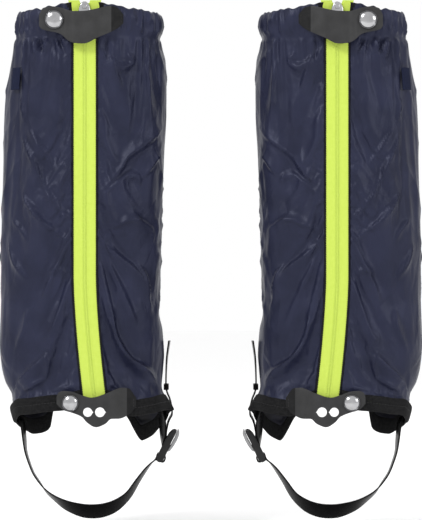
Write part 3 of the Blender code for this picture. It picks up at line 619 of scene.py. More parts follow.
# Folds seen from the front: points (x, z), height, and the reach of the slope on either side
FRONT_FOLDS = (
    (((-54, 294), (-40, 272), (-26, 254)), 2.2, 5, 12),
    (((-62, 288), (-46, 256), (-30, 218)), 2.6, 6, 14),
    (((-60, 229), (-43, 204), (-13, 178)), 3.0, 6, 14),
    (((-35, 229), (-22, 212), (-9, 196)), 2.2, 5, 10),
    (((-63, 326), (-61, 314), (-58, 300)), 1.4, 4, 7),
    (((-71, 203), (-64, 194), (-56, 182)), 1.8, 5, 8),
    (((-36, 147), (-25, 150), (-13, 142)), 2.2, 9, 6),
    (((-42, 120), (-36, 134), (-30, 146)), 1.8, 5, 9),
    (((-75, 178), (-68, 158), (-58, 141)), 2.0, 5, 9),
    (((-72, 22), (-56, 42), (-39, 63)), 3.2, 7, 16),
    (((-39, 63), (-35.5, 52), (-37, 37)), 2.0, 6, 7),
    (((-37, 38), (-50, 30), (-64, 22)), 1.8, 5, 8),
    (((-58, 110), (-60, 90), (-70, 66)), 1.6, 6, 10),
    (((-25, 118), (-28, 92), (-44, 74)), 1.2, 8, 12),
    (((22, 228), (40, 249), (55, 269), (86, 299)), 3.2, 14, 6),
    (((23, 224), (40, 240), (56, 252)), 2.2, 7, 12),
    (((50, 245), (60, 247), (62, 238)), 1.8, 6, 8),
    (((85, 282), (75, 262), (65, 246)), 2.2, 5, 9),
    (((30, 190), (43, 198), (58, 203), (76, 191)), 3.0, 8, 16),
    (((24, 176), (34, 186), (50, 189)), 1.4, 5, 8),
    (((27, 173), (44, 162), (63, 145), (75, 110)), 2.4, 6, 12),
    (((62, 157), (69, 142), (74, 121)), 2.0, 5, 7),
    (((24, 151), (34, 108), (43, 67), (82, 28)), 2.6, 8, 16),
    (((35, 97), (43, 74), (56, 54), (80, 26)), 3.0, 6, 14),
    (((30, 160), (46, 128), (60, 96)), 1.6, 7, 12),
    (((31, 367), (36, 352), (43, 336)), 2.0, 5, 9),
    (((32, 364), (44, 356), (55, 361)), 2.4, 6, 8),
    (((48, 369), (53, 364), (54, 357)), 2.0, 5, 6),
    (((67, 365), (71, 340), (72, 305)), 1.6, 5, 8),
    (((45, 330), (52, 310), (50, 285)), 1.2, 10, 14),
    (((-43, 389), (-41, 380), (-38, 370)), -2.6, 4, 4),
    (((-34, 386), (-35, 377), (-37, 369)), 2.4, 3, 4),
    (((-47, 388), (-46, 376), (-44, 362)), 2.0, 3, 5),
    (((-27, 388), (-27, 378), (-26, 366)), -1.8, 3, 4),
    (((-23, 389), (-20, 380), (-17, 370)), -2.0, 3, 4),
    (((-55, 388), (-57, 372), (-60, 352)), 2.0, 4, 6),
    (((26, 388), (27, 374), (30, 360)), -1.6, 3, 5),
)


def fold_height(distance, z, line, height, left, right):
    """A crease along a line of (distance, z): a ridge with one reach on its left and one on its right."""
    line = curve_points(line, 6)
    result = np.zeros_like(distance)
    total = len(line) - 1
    nearest = np.full_like(distance, 1e9)
    for k in range(total):
        ax, az = line[k]
        bx, bz = line[k + 1]
        dx, dz = bx - ax, bz - az
        size = dx * dx + dz * dz
        t = np.clip(((distance - ax) * dx + (z - az) * dz) / size, 0, 1)
        px, pz = distance - ax - t * dx, z - az - t * dz
        gap = np.hypot(px, pz)
        side = np.sign(dx * pz - dz * px)
        reach = np.where(side > 0, left, right)
        along = (k + t) / total
        taper = np.sin(np.pi * np.clip(along * 0.94 + 0.03, 0, 1)) ** 0.7
        tent = np.clip(1 - gap / (reach * (0.35 + 0.65 * taper)), 0, 1)
        value = FOLD_GAIN * height * taper * tent**1.75
        closer = gap < nearest
        result = np.where(closer, value, result)
        nearest = np.where(closer, gap, nearest)
    return result


def corner_flare(share, z):
    """The bound edge's corner in front of the buckle turns outwards."""
    return 6.5 * np.exp(-(((share - 0.196) / 0.015) ** 2)) * np.clip((26 - z) / 24, 0, 1) ** 1.5


def noise_field(u, v, seed):
    flat = [noise.noise(Vector((a, b, seed * 7.31))) for a, b in zip(u.ravel(), v.ravel())]
    return np.array(flat).reshape(u.shape)


def ridged(u, v, seed):
    """Noise with sharp crests, about -1 to 1."""
    return 1 - 3.2 * np.abs(noise_field(u, v, seed))


def front_distance(x, z):
    """The signed distance round from the zip at which the front of the wall has this x."""
    row = int(round((z - wall.LEVELS[0]) / 2.0))
    xs, girth = wall.x[row], wall.girths[row]
    right, left = int(np.argmax(xs)), int(np.argmin(xs))
    if x >= xs[0]:
        return float(np.interp(x, xs[: right + 1], wall.SHARES[: right + 1])) * girth
    return float(np.interp(x, xs[left:], wall.SHARES[left:] - 1)) * girth


def fabric_relief(share, distance, z, hem_top):
    """How far the fabric stands off the wall, in millimetres."""
    girth = wall.girth(z)
    signed = np.where(share < 0.5, distance, distance - girth)
    edge = np.minimum(distance, girth - distance) - FABRIC_START
    body = np.clip((CASING_BOTTOM - z) / 4, 0, 1)
    relief = 2.0 * noise_field(signed / 55, z / 80, 1) + 0.9 * noise_field(signed / 17, z / 30, 2)
    for line, height, left, right in FRONT_FOLDS:
        route = [(front_distance(x, h), h) for x, h in line]
        relief += fold_height(signed, z, route, height, left, right)
    random = np.random.default_rng(11)
    for number in range(110):
        middle = random.uniform(78, 360) if number < 80 else random.uniform(20, 420)
        middle = middle if middle < 225 else middle - 450
        height = random.uniform(0.5, 1.3) * (1 if number < 80 else 0.6)
        at = random.uniform(40, 365)
        lean = random.uniform(-1.0, 1.0)
        half = random.uniform(14, 48)
        bow = random.uniform(-6, 6)
        route = [
            (middle - half * math.sin(lean), at - half * math.cos(lean)),
            (middle + bow * math.cos(lean), at),
            (middle + half * math.sin(lean), at + half * math.cos(lean)),
        ]
        relief += fold_height(signed, z, route, height, random.uniform(5, 11), random.uniform(8, 18))
    under = np.exp(-np.maximum(0, CASING_BOTTOM - z) / 36) * (z <= CASING_BOTTOM)
    relief += under * 1.8 * ridged(signed / 8.5, z / 90, 3) * np.clip(edge / 10, 0, 1)
    pucker = np.exp(-np.maximum(edge, 0) / 11) * (0.25 + np.exp(-(((z - 200) / 60) ** 2)))
    fan = (z - 205) / (1 + np.maximum(edge, 0) / 30) + 0.35 * np.abs(signed)
    relief += pucker * 1.7 * ridged(fan / 6.0, signed / 60, 4)
    low = np.exp(-np.maximum(0, z - hem_top) / 13)
    relief += low * 1.1 * ridged(signed / 8, z / 40, 5)
    relief *= np.clip(edge / 4, 0.25, 1) * np.clip((z - hem_top + 1) / 7, 0, 1)
    relief *= body
    beside_strap = np.clip((signed - 66) / 12, 0, 1) * np.clip((150 - signed) / 12, 0, 1)
    kept_in = beside_strap * np.clip((112 - z) / 26, 0, 1)
    relief += kept_in * (np.minimum(relief, 0.5) - relief)
    at_side = np.exp(-(((np.abs(signed) - 105) / 24) ** 2))
    relief *= 1 - 0.5 * at_side * (z < CASING_BOTTOM)
    inner, outer = at_side * (signed < 0), at_side * (signed > 0)
    fullness = inner * pchip(INNER_FULLNESS, z) + outer * pchip(OUTER_FULLNESS, z)
    return relief + fullness + corner_flare(share, z)


def fabric_grid():
    """Points of the shell's outer face: its girth by its height, gathered at the top casing."""
    share = np.repeat(np.linspace(0, 1, COLUMNS + 1)[:, None], BODY_ROWS + CASING_ROWS + 1, axis=1)
    rise = np.arange(BODY_ROWS + CASING_ROWS + 1)[None, :]
    bottom = hem_edge(share) + 3.0
    hem_top = hem_edge(share) + HEM_HEIGHT
    signed_share = np.minimum(share, 1 - share)
    waves = 2.4 * noise_field(share * 55, share * 0 + 3, 6)
    top = casing_top(share) + waves * np.clip(signed_share * 30, 0, 1)
    top += 4.6 * np.clip(1 - signed_share / 0.075, 0, 1)
    top -= 2.0 * np.exp(-(((share - 0.5) ** 2 - 0.0625) / 0.02) ** 2)
    body_part = np.minimum(rise / BODY_ROWS, 1)
    casing_part = np.maximum(0, (rise - BODY_ROWS) / CASING_ROWS)
    z = bottom + (CASING_BOTTOM - bottom) * body_part + (top - CASING_BOTTOM) * casing_part
    girth = wall.girth(z)
    distance = FABRIC_START + share * (girth - 2 * FABRIC_START)
    relief = fabric_relief(share, distance, z, hem_top)
    signed = np.where(share < 0.5, distance, distance - girth)
    edge = np.minimum(distance, girth - distance) - FABRIC_START
    puff = np.sin(np.pi * np.clip(casing_part, 0, 1)) ** 0.6
    ruffle = 1.9 * ridged(signed / 8.5, z / 90, 3) + 1.5 * ridged(signed / 6.1, z / 22, 8) - 0.3
    ruffle += 1.8 * noise_field(signed / 15, z / 19, 9)
    bunched = 0.15 + 0.85 * np.clip((np.abs(signed) - 30) / 45, 0, 1)
    eased = np.clip(casing_part * 4, 0, 1)
    casing = eased * (0.6 + 1.3 * puff * bunched) + ruffle * (0.35 + 0.65 * puff) * eased
    casing = np.maximum(casing, -0.3) * np.clip(edge / 9, 0, 1)
    nipped = np.clip(0.35 + 1.1 * noise_field(share * 22, z * 0, 14), 0, 1)
    pinch = -2.0 * np.exp(-(((z - CASING_BOTTOM - 4 * noise_field(share * 14, z * 0, 13)) / 3.4) ** 2))
    pinch = pinch * bunched * nipped * np.clip(edge / 9, 0, 1)
    seam = 0.8 * np.clip(1 - (np.abs(share - 0.5) * 440 / 4.2) ** 6, 0, 1) * (casing_part == 0)
    return share, z, edge, wall.point(distance, z, relief + casing + pinch + seam), casing_part


CLOTH = {
    "quality": 6,
    "mass": 0.08,
    "tension_stiffness": 30,
    "compression_stiffness": 30,
    "shear_stiffness": 12,
    "bending_stiffness": 0.35,
    "air_damping": 6,
    "pin_stiffness": 1,
}


def settle(obj, held, frames=14, growth=0.035):
    """Lets the sheet, cut a little larger than its frame, buckle and hang between its held edges."""
    group = obj.vertex_groups.new(name="held")
    for index, weight in enumerate(held):
        if weight > 0:
            group.add([index], float(weight), "REPLACE")
    modifier = obj.modifiers.new("cloth", "CLOTH")
    for key, value in CLOTH.items():
        setattr(modifier.settings, key, value)
    modifier.settings.vertex_group_mass = "held"
    modifier.settings.shrink_min = -growth
    modifier.collision_settings.use_collision = False
    modifier.collision_settings.use_self_collision = False
    scene = bpy.context.scene
    scene.frame_start, scene.frame_end = 1, frames
    modifier.point_cache.frame_start, modifier.point_cache.frame_end = 1, frames
    for number in range(1, frames + 1):
        scene.frame_set(number)
    graph = bpy.context.evaluated_depsgraph_get()
    settled = obj.evaluated_get(graph)
    points = np.array([v.co for v in settled.data.vertices], float) / MM
    obj.modifiers.remove(modifier)
    scene.frame_set(1)
    return points


def build_shell():
    share, z, edge, points, casing_part = fabric_grid()
    rows = BODY_ROWS + CASING_ROWS
    looks = ["nylon", "lining", "binding", "lining"]
    obj = new_object("shell", points.reshape(-1, 3), grid_faces(COLUMNS, rows), looks, 180)
    for face in obj.data.polygons:
        corner = face.vertices[0]
        if edge.ravel()[corner] < 0.42 * (z.ravel()[corner] - 402):
            face.material_index = 2
    hem_top = hem_edge(share) + HEM_HEIGHT
    held = (edge < 1.2) | (z < hem_top + 1) | (casing_part > 0) | (z > CASING_BOTTOM - 3)
    settled = settle(obj, held.ravel().astype(float))
    shift = settled - points.reshape(-1, 3)
    length = np.linalg.norm(shift, axis=1, keepdims=True)
    limit = 5.0
    shift *= limit * np.tanh(length / limit) / np.maximum(length, 1e-6)
    at_buckle = np.clip((points[..., 0] - 58) / 14, 0, 1) * np.clip((122 - z) / 34, 0, 1)
    shift *= 1 - 0.85 * at_buckle.reshape(-1, 1)
    final = points.reshape(-1, 3) + shift
    obj.data.vertices.foreach_set("co", (final * MM).astype(np.float32).ravel())
    obj.data.update()
    modify(obj, "SOLIDIFY", thickness=FABRIC_THICKNESS * MM, offset=-1, material_offset=1)
    made = place_pair(
        obj,
        "fabric_shell",
        "gaiter",
        ("shell_inner_panel", "shell_outer_panel", "back_seam", "top_casing", "top_elastic"),
    )


def build_hem():
    """The bound edge: a folded tape round the shell's lower edge, with a row of stitches."""
    profile = np.array(
        (
            (0.5, 16.3), (1.2, 15.6), (1.5, 12.5), (1.55, 9.4), (1.15, 8.4), (1.55, 7.4), (1.6, 4.0),
            (1.5, 1.4), (0.9, 0.2), (-0.3, -0.5), (-1.5, 0.2), (-2.0, 1.6), (-2.1, 8.0), (-1.7, 14.6),
            (-0.9, 15.8),
        )
    )
    shares = np.linspace(0, 1, 241)
    sections, line, outward = [], [], []
    for share in shares:
        wobble = 0.5 * noise.noise(Vector((share * 45, 1.7, 0)))
        lift = 0.5 * noise.noise(Vector((share * 38, 9.1, 0)))
        z = float(hem_edge(share)) + profile[:, 1] + lift
        girth = wall.girth(z)
        distance = PANEL_START + share * (girth - 2 * PANEL_START)
        sections.append(wall.point(distance, z, profile[:, 0] + wobble + corner_flare(share, z)))
        line.append(sections[-1][4])
        outward.append(sections[-1][3] - sections[-1][12])
    hem = sweep("bound_hem", sections, ["binding"])
    place_pair(hem, "bound_hem", "gaiter", ("hem_binding",))
    outward = np.array(outward)
    outward[:, 2] = 0
    row = stitches("hem_stitches", np.array(line), outward, 3.2, 2.2, 0.26)
    place_pair(row, "hem_stitches", "gaiter")


# ---------------------------------------------------------------- the zip


def strip_sections(inner, outer, heights, profile, wobble=None):
    """Sections of a strip beside the zip: profile points are (share from inner to outer, proud)."""
    sections = []
    for k, z in enumerate(heights):
        across = np.array([inner + (outer - inner) * p[0] for p in profile])
        if wobble is not None:
            across = across + wobble(z) * np.array([1 - p[0] for p in profile]) * np.sign(outer - inner)
        across = across + math.copysign(float(flare(z)), inner)
        sections.append(wall.point(across, np.full(len(profile), z), np.array([p[1] for p in profile])))
    return sections


TAPE_PROFILE = (
    (0.0, -0.2), (0.06, -0.05), (0.14, 0.05), (0.22, 0.35), (0.27, 0.1), (0.38, 0.05), (0.6, 0.05),
    (0.8, 0.05), (1.0, -0.05), (1.0, -1.0), (0.5, -1.1), (0.0, -1.1),
)
PIPING_PROFILE = ((0.0, 0.35), (0.3, 0.85), (0.7, 0.85), (1.0, 0.3), (1.0, -1.2), (0.0, -1.2))


def build_zip():
    heights = np.concatenate([np.linspace(ZIP_BOTTOM, 390, 130), np.linspace(392, ZIP_TOP, 18)])
    for word, sign in (("left", -1), ("right", 1)):
        sections = strip_sections(sign * 0.3, sign * 11.9, heights, TAPE_PROFILE)
        tape = sweep(f"tape_{word}", sections, ["tape"], 50)
        place_pair(tape, f"woven_tape_{word}", "gaiter", (f"zip_tape_{word}",))
        fine = np.arange(ZIP_BOTTOM, 399.5, 0.42)

        def overlock(z):
            return 0.28 * math.sin(2 * math.pi * z / 2.3)

        sections = strip_sections(sign * 11.35, sign * 13.5, fine, PIPING_PROFILE, overlock)
        edge = sweep(f"edge_{word}", sections, ["binding"], 60)
        place_pair(edge, f"overlocked_edge_{word}", "gaiter", (f"zip_piping_{word}",))
        place_pair(coil_mesh(word, sign), f"coil_teeth_{word}", "gaiter", (f"zip_coil_{word}",))


def coil_mesh(word, sign):
    """One side's coil: a rounded loop of filament for each tooth, meshing with the other side's."""
    pitch = 1.45
    verts, faces = [], []
    outline = ((0.6, -0.1), (0.4, 0.4), (-0.2, 0.6), (-1.1, 0.6), (-1.9, 0.35), (-2.2, -0.1))
    start = ZIP_BOTTOM + (0.0 if sign > 0 else pitch / 2)
    for z in np.arange(start, ZIP_TOP - 3, pitch):
        base = len(verts)
        for across, proud in outline:
            reach = -across * sign + math.copysign(float(flare(z)), sign)
            for dz, lower in ((-0.58, 0.25), (-0.3, 0.0), (0.3, 0.0), (0.58, 0.25)):
                verts.append(wall.point(reach, z + dz, proud - lower + 0.1))
            verts += [wall.point(reach, z + dz, -0.6) for dz in (0.4, -0.4)]
        faces += tube_faces(base, len(outline))
    return closed_object(f"coil_{word}", verts, faces, "coil", 60)


def rounded_section(half_x, half_y, corner, count=5):
    """A rounded rectangle in the XY plane."""
    points = []
    for quarter, (sx, sy) in enumerate(((1, 1), (-1, 1), (-1, -1), (1, -1))):
        for k in range(count):
            angle = math.pi / 2 * (quarter + k / (count - 1))
            x = sx * (half_x - corner) + corner * math.cos(angle)
            y = sy * (half_y - corner) + corner * math.sin(angle)
            points.append((x, y))
    return np.array(points)


def build_slider():
    """The slider, narrower at its nose, with lugs and a bar, and the pull that hangs from the bar."""
    plate_back, rear = -53.2, -50.2
    levels = (404.0, 405.5, 412, 416, 419, 420.6, 421.3)
    shape = np.column_stack((levels, (5.2, 6.1, 6.25, 5.4, 4.0, 2.6, 1.2)))
    dome = np.column_stack((levels, (0.7, 1.2, 1.35, 1.3, 1.1, 0.8, 0.4)))
    sections = []
    for z in np.concatenate([np.linspace(404, 420, 17), [420.6, 421.0, 421.3]]):
        half_x, half_y = float(pchip(shape, z)), float(pchip(dome, z))
        flat = rounded_section(half_x, half_y, min(half_y * 0.85, half_x * 0.6))
        sections.append([(ZIP_X + x, plate_back - 1.25 + y, z) for x, y in flat])
    front = sweep("slider_front", [np.array(s) for s in sections], ["nickel"], 40)
    back = moved(rounded_box("slider_back", (10.5, 1.4, 15), 0.5, "nickel"), (ZIP_X, rear + 0.7, 412.5))
    web = moved(rounded_box("slider_web", (0.5, 4.4, 12), 0.1, "nickel", 1), (ZIP_X, -51.7, 412.5))
    lugs = [rounded_box("lug", (1.2, 4.6, 3.4), 0.45, "nickel") for _ in range(2)]
    for lug, x in zip(lugs, (-3.8, 3.8)):
        moved(lug, (ZIP_X + x, -56.6, 409))
    bar = moved(rounded_box("bar", (8.2, 1.6, 1.6), 0.7, "nickel"), (ZIP_X, -58.0, 409))
    crown = moved(rounded_box("crown", (4.6, 1.2, 4.2), 0.55, "nickel"), (ZIP_X, -55.7, 416.2))
    slider = joined("slider", [front, back, web, bar, crown] + lugs)
    place_pair(slider, "nickel_slider", "slider", ("zip_slider",))

    lean = math.radians(7.7)
    sections = []
    for along, half in ((0.0, 2.6), (-4, 2.75), (-9, 2.4), (-15, 2.9), (-21, 3.3), (-24, 3.0), (-25.4, 1.8)):
        flat = rounded_section(half, 0.62, 0.45)
        y0 = -58.0 - along * math.sin(lean)
        z0 = 409 + along * math.cos(lean)
        sections.append(np.array([(ZIP_X + x, y0 + y, z0) for x, y in flat]))
    blade = sweep("pull_blade", sections, ["nickel"], 40)
    eye = ring_lathe("pull_eye", ((1.95, -2.6), (1.95, 2.6), (1.15, 2.6), (1.15, -2.6)), 24, "nickel")
    moved(eye, (ZIP_X, -58.0, 409), (0, 0, math.pi / 2))
    pull = joined("pull", [blade, eye])
    place_pair(pull, "nickel_pull", "pull", ("zip_pull",))
    for side in ("left", "right"):
        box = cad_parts[f"{side}_zip_retainer_box"]
        box.data.materials.clear()
        box.data.materials.append(LOOKS["coil"])


# ---------------------------------------------------------------- tabs and press studs

TAB_THICKNESS = 1.8
TOP_TAB = {
    "upper": (
        (-41.5, 407), (-37.4, 414.3), (-29.3, 416), (-20, 414.9), (-5.8, 411), (4, 411.2),
        (22.5, 414.9), (30, 416.7), (37, 415.5), (43.9, 408),
    ),
    "lower": (
        (-41.5, 396), (-38.5, 392.7), (-21, 388.4), (-10.9, 381), (-5.8, 378.5), (4, 377.8),
        (19.3, 384.6), (38, 393.8), (43.9, 399),
    ),
    "arch": (
        (-41.5, -56.4), (-36, -56.9), (-16, -56.9), (-5, -61.2), (14, -61.2), (26, -58), (36, -53.6),
        (43.9, -51.4),
    ),
}
BOTTOM_TAB = {
    "upper": (
        (-23.6, 17), (-21.5, 21.7), (-17, 23.3), (-9.9, 22.8), (2.4, 18.7), (11.8, 16.4), (25.8, 20.3),
        (43, 26.4), (48.8, 25.8), (56.8, 16),
    ),
    "lower": (
        (-23.6, 10), (-17, 3.9), (-6.8, 0.6), (2.4, -3.5), (7.1, -8.8), (16.5, -13.8), (25.8, -10.4),
        (31.7, -5.3), (38.8, -5.3), (50.3, -0.6), (56.8, 7),
    ),
    "arch": (
        (-23.6, -56.6), (-20, -56.9), (0, -56.9), (18, -56.9), (32, -54.9), (45, -51.6), (56.8, -47.9),
    ),
}
LACE_HOLES = ((8.1, 1.5, 4.7), (20.6, 1.5, 5.0))


def tab_place(tab, x):
    """The tab's upper and lower edge and its inner face's y at one x."""
    return (float(pchip(np.array(tab[key], float), x)) for key in ("upper", "lower", "arch"))


def tab_object(name, tab, columns=72, rows=18):
    low, high = tab["upper"][0][0], tab["upper"][-1][0]
    points = []
    for i in range(columns + 1):
        x = low + (high - low) * 0.5 * (1 - math.cos(math.pi * i / columns))
        top, bottom, y = tab_place(tab, x)
        for j in range(rows + 1):
            z = bottom + (top - bottom) * j / rows
            sag = 0.35 * noise.noise(Vector((x / 17, z / 14, 3.3)))
            points.append((x, y + sag * min(1.0, (high - x) / 8), z))
    obj = new_object(name, points, grid_faces(columns, rows), ["leather"], 45)
    modify(obj, "SOLIDIFY", thickness=TAB_THICKNESS * MM, offset=1)
    return obj


def soften(obj, width=0.45):
    modify(obj, "BEVEL", width=width * MM, segments=2, limit_method="ANGLE", angle_limit=math.radians(55))


def punch_object(x, z, radius):
    """A round punch with a small pointed nick on its buckle side."""
    outline = []
    for k in range(40):
        angle = math.radians(16) + math.radians(328) * k / 39
        outline.append((x + radius * math.cos(angle), z + radius * math.sin(angle)))
    outline.append((x + radius + 1.1, z))
    count = len(outline)
    points = [(px, -70, pz) for px, pz in outline] + [(px, -48, pz) for px, pz in outline]
    faces = [(k, (k + 1) % count, (k + 1) % count + count, k + count) for k in range(count)]
    faces += [tuple(range(count - 1, -1, -1)), tuple(range(count, 2 * count))]
    return closed_object("punch", points, faces, "leather", 40)


CAP_PROFILE = (
    (0, 1.0), (0.20, 0.99), (0.40, 0.92), (0.56, 0.79), (0.68, 0.62), (0.77, 0.44), (0.815, 0.33),
    (0.85, 0.34), (0.885, 0.50), (0.92, 0.57), (0.96, 0.53), (0.99, 0.42), (1.0, 0.30), (0.98, 0.10),
    (0.92, 0.0), (0, 0.0),
)


STUD_PROFILE = (
    (0, 2.9), (1.2, 2.85), (1.9, 2.6), (2.35, 2.1), (2.2, 1.4), (2.1, 0.9), (5.6, 0.8), (6, 0.4),
    (6, 0), (0, 0),
)


def build_snap(name, place, radius, body, outer_y, socket_y=-56.5):
    x, z = place
    cap = lathe("cap", [(r * radius, h * 2.7) for r, h in CAP_PROFILE], 64, "nickel", 50)
    # Painted shade: faces beyond 0.8 of the cap's radius take the darker nickel copy
    cap.data.materials.append(LOOKS["nickel_painted_shade"])
    for face in cap.data.polygons:
        middle = face.center / MM
        if math.hypot(middle.x, middle.z) > 0.80 * radius:
            face.material_index = 1
    moved(cap, (x, outer_y - 0.25, z))
    place_pair(cap, f"{name}_domed_cap", body, (f"{name}_snap_cap",))
    loop = ((6.3, 1.8), (6.3, 0.2), (6.0, 0), (3.6, 0), (3.2, 0.5), (3.2, 1.4), (3.6, 1.8))
    socket = moved(ring_lathe("socket", loop, 40, "nickel"), (x, socket_y + 1.8, z))
    place_pair(socket, f"{name}_socket_ring", body, (f"{name}_snap_socket",))
    stud = moved(lathe("stud", STUD_PROFILE, 40, "nickel", 40), (x, -53.1, z))
    place_pair(stud, f"{name}_stud_post", "gaiter", (f"{name}_snap_stud",))


def tab_row(tab, x, low_share, high_share, count=12):
    """Points up a tab's face at one x, with their outward directions, for a row of stitches."""
    top, bottom, y = tab_place(tab, x)
    ahead = list(tab_place(tab, x + 0.5))[2]
    slope = (ahead - y) / 0.5
    out = np.array([slope, -1.0, 0.0])
    out /= np.linalg.norm(out)
    heights = np.linspace(bottom + (top - bottom) * low_share, bottom + (top - bottom) * high_share, count)
    points = np.array([(x, y, h) for h in heights]) + out * (TAB_THICKNESS + 0.05)
    return points, np.repeat(out[None, :], count, axis=0)


# Painted shade: faces past start take the darker leatherette copy, standing in for the shade on the tab's end
# beyond its fold
def paint_shade_on_end(tab, start):
    tab.data.materials.append(LOOKS["leather_painted_shade"])
    for face in tab.data.polygons:
        if face.center.x > start * MM:
            face.material_index = len(tab.data.materials) - 1


def build_tabs():
    top = tab_object("top_tab", TOP_TAB)
    paint_shade_on_end(top, 31.5)
    soften(top)
    root = ("gaiter", (36, -55, 402), (45.5, -52, 402))
    place_pair(top, "top_leather_tab", "top_flap", ("top_tab",), root)
    build_snap("top", (-26.3, 402.5), 9.6, "top_flap", -58.7)
    bottom = tab_object("bottom_tab", BOTTOM_TAB)
    paint_shade_on_end(bottom, 47.5)
    punches = [punch_object(*hole) for hole in LACE_HOLES]
    for punch in punches:
        modify(bottom, "BOOLEAN", operation="DIFFERENCE", solver="EXACT", object=punch)
    soften(bottom, 0.35)
    root = ("gaiter", (49, -50, 11), (58.5, -47, 11))
    place_pair(bottom, "bottom_leather_tab", "bottom_flap", ("bottom_tab",), root)
    for punch in punches:
        bpy.data.objects.remove(punch, do_unlink=True)
    build_snap("bottom", (-9.8, 10.9), 8.7, "bottom_flap", -58.7)
    rows = [("top", TOP_TAB, 41.6, 0.12, 0.86), ("bottom", BOTTOM_TAB, 54.2, 0.12, 0.84)]
    for name, tab, x, low, high in rows:
        points, outward = tab_row(tab, x, low, high)
        row = stitches("tab_stitches", points, outward, 2.9, 2.0, 0.25)
        place_pair(row, f"{name}_tab_stitches", "gaiter")


# ---------------------------------------------------------------- the stirrup

STRAP_Y = 8.0
STRAP_WIDTH = 20.0
BUCKLE_CENTRE = (87.8, -35.0)
BUCKLE_LEAN = math.radians(23.9)
INSTEP_ROUTE = (
    (-71.8, 13, 0), (-70.6, 4, 0), (-68.0, -4, 3), (-63.4, -10.8, 7), (-61.6, -19.5, 8),
    (-60.4, -31, 6), (-58.9, -43, 2), (-55.4, -54.5, 0.5), (-50.9, -65.5, -0.5), (-43.9, -75.9, -2),
    (-36.9, -84.8, -10), (-27.1, -92.4, -19), (-15.8, -99, -33), (-3, -103.4, -45), (7, -105.0, -50),
    (19, -104.4, -49), (30.5, -100.9, -42), (40.3, -94.8, -31), (48.7, -86.8, -21), (57.2, -73.8, -14),
    (65.6, -61.9, -9), (71.5, -55.0, -4), (76.3, -50.4, 0),
)
INSTEP_LOOP = ((-4.4, 2.9), (0, 3.3), (3.9, 2.5), (4.7, 0), (3.9, -2.5), (0, -3.4), (-4.4, -3.2))
ADJUSTER_ROUTE = (
    (80.6, 8, -8), (82.0, -2, -14), (83.4, -10.8, -19), (83.9, -20, -20), (83.7, -28, -14),
    (83.2, -36, -2), (84.2, -40.8, 0), (87.3, -41.9, 0), (90.3, -40.2, 0), (90.9, -36.6, 0),
    (89.3, -33.4, 0), (87.2, -30.6, 0), (87.3, -25, 0), (88.0, -18, 2), (89.4, -11.5, 3),
    (91.4, -7.0, 3), (93.0, -4.0, 3), (93.4, 2, 0), (91.2, 12, 0), (88.4, 19, 0), (87.2, 25, 0),
    (87.2, 38, 0), (88.2, 56, -2), (90.6, 73, -3),
)


def buckle_point(across, along):
    x = BUCKLE_CENTRE[0] + across * math.cos(BUCKLE_LEAN) + along * math.sin(BUCKLE_LEAN)
    z = BUCKLE_CENTRE[1] - across * math.sin(BUCKLE_LEAN) + along * math.cos(BUCKLE_LEAN)
    return x, z


def ribbon(name, route, look="strap", thickness=1.5, per_span=7, half_width=STRAP_WIDTH / 2):
    """Webbing with rounded edges along (x, z, roll) points."""
    route = curve_points(route, per_span)
    sections = []
    for k, (x, z, roll) in enumerate(route):
        before, after = route[max(k - 1, 0)], route[min(k + 1, len(route) - 1)]
        ahead = np.array([after[0] - before[0], 0, after[1] - before[1]])
        ahead /= np.linalg.norm(ahead)
        upright = np.cross(ahead, (0, 1, 0))
        angle = math.radians(roll)
        across = np.array((0, 1, 0)) * math.cos(angle) + upright * math.sin(angle)
        through = np.cross(across, ahead)
        flat = rounded_section(half_width, thickness / 2, thickness * 0.42, 4)
        centre = np.array((x, STRAP_Y, z))
        sections.append(np.array([centre + across * a + through * b for a, b in flat]))
    return sweep(name, sections, [look], 50)


def build_straps():
    lower_bar = (-17.25 - 13.5) / 2
    loop = [(*buckle_point(across, lower_bar + along), 0) for across, along in INSTEP_LOOP]
    for word, route, replaced in (
        ("instep", list(INSTEP_ROUTE) + loop, ("instep_strap", "strap_anchor")),
        ("adjuster", ADJUSTER_ROUTE, ("adjuster_strap", "strap_tail")),
    ):
        bend = ("stirrup", (0, STRAP_Y, -4), (0, STRAP_Y, -16))
        place_pair(ribbon(word, route), f"{word}_webbing", "gaiter", replaced, bend)


def build_buckle():
    """A ladder buckle: two deep rails, three bars and a lip that turns outwards, coloured pale as a painted
    highlight.
    """
    outline = (
        (-19.6, -1.6, 0.9), (-18.6, -3.0, 2.3), (-14.8, -4.3, 3.5), (-10, -3.9, 3.7), (-2, -3.6, 3.4),
        (6, -3.2, 3.6), (12, -2.4, 4.0), (16, -0.6, 4.4), (17.4, 1.2, 3.6),
    )
    parts = []
    for sign in (-1, 1):
        sections = []
        for along, low, high in outline:
            flat = rounded_section((high - low) / 2, 1.25, 0.9, 4)
            sections.append(np.array([(x + (low + high) / 2, sign * 12.2 + y, along) for x, y in flat]))
        parts.append(sweep("rail", sections, ["plastic"], 40))
    for along, shift, depth, tall in ((-15.4, 0, 3.6, 3.6), (-2.25, 0, 3.6, 3.4), (12.6, 1.0, 3.4, 4.0)):
        bar = rounded_box("bar", (depth, 24, tall), min(depth, tall) * 0.35, "plastic")
        parts.append(moved(bar, (shift, 0, along)))
    # The lip takes the pale acetal copy, a painted highlight
    lip = (
        (-6, 3.6, 0.5), (-4, 4.8, 1.2), (2, 5.8, 1.6), (9, 6.4, 1.7), (15, 6.3, 1.5), (18.2, 5.2, 1.0),
        (19.0, 4.6, 0.5),
    )
    sections = []
    for along, across, half in lip:
        flat = rounded_section(half, 12.4, min(half, 0.8) * 0.95, 4)
        sections.append(np.array([(x + across, y, along) for x, y in flat]))
    parts.append(sweep("lip", sections, ["plastic_painted_highlight"], 40))
    buckle = joined("buckle", parts)
    moved(buckle, (BUCKLE_CENTRE[0], STRAP_Y, BUCKLE_CENTRE[1]), (0, BUCKLE_LEAN, 0))
    place_pair(buckle, "ladder_buckle", "buckle", ("buckle",))


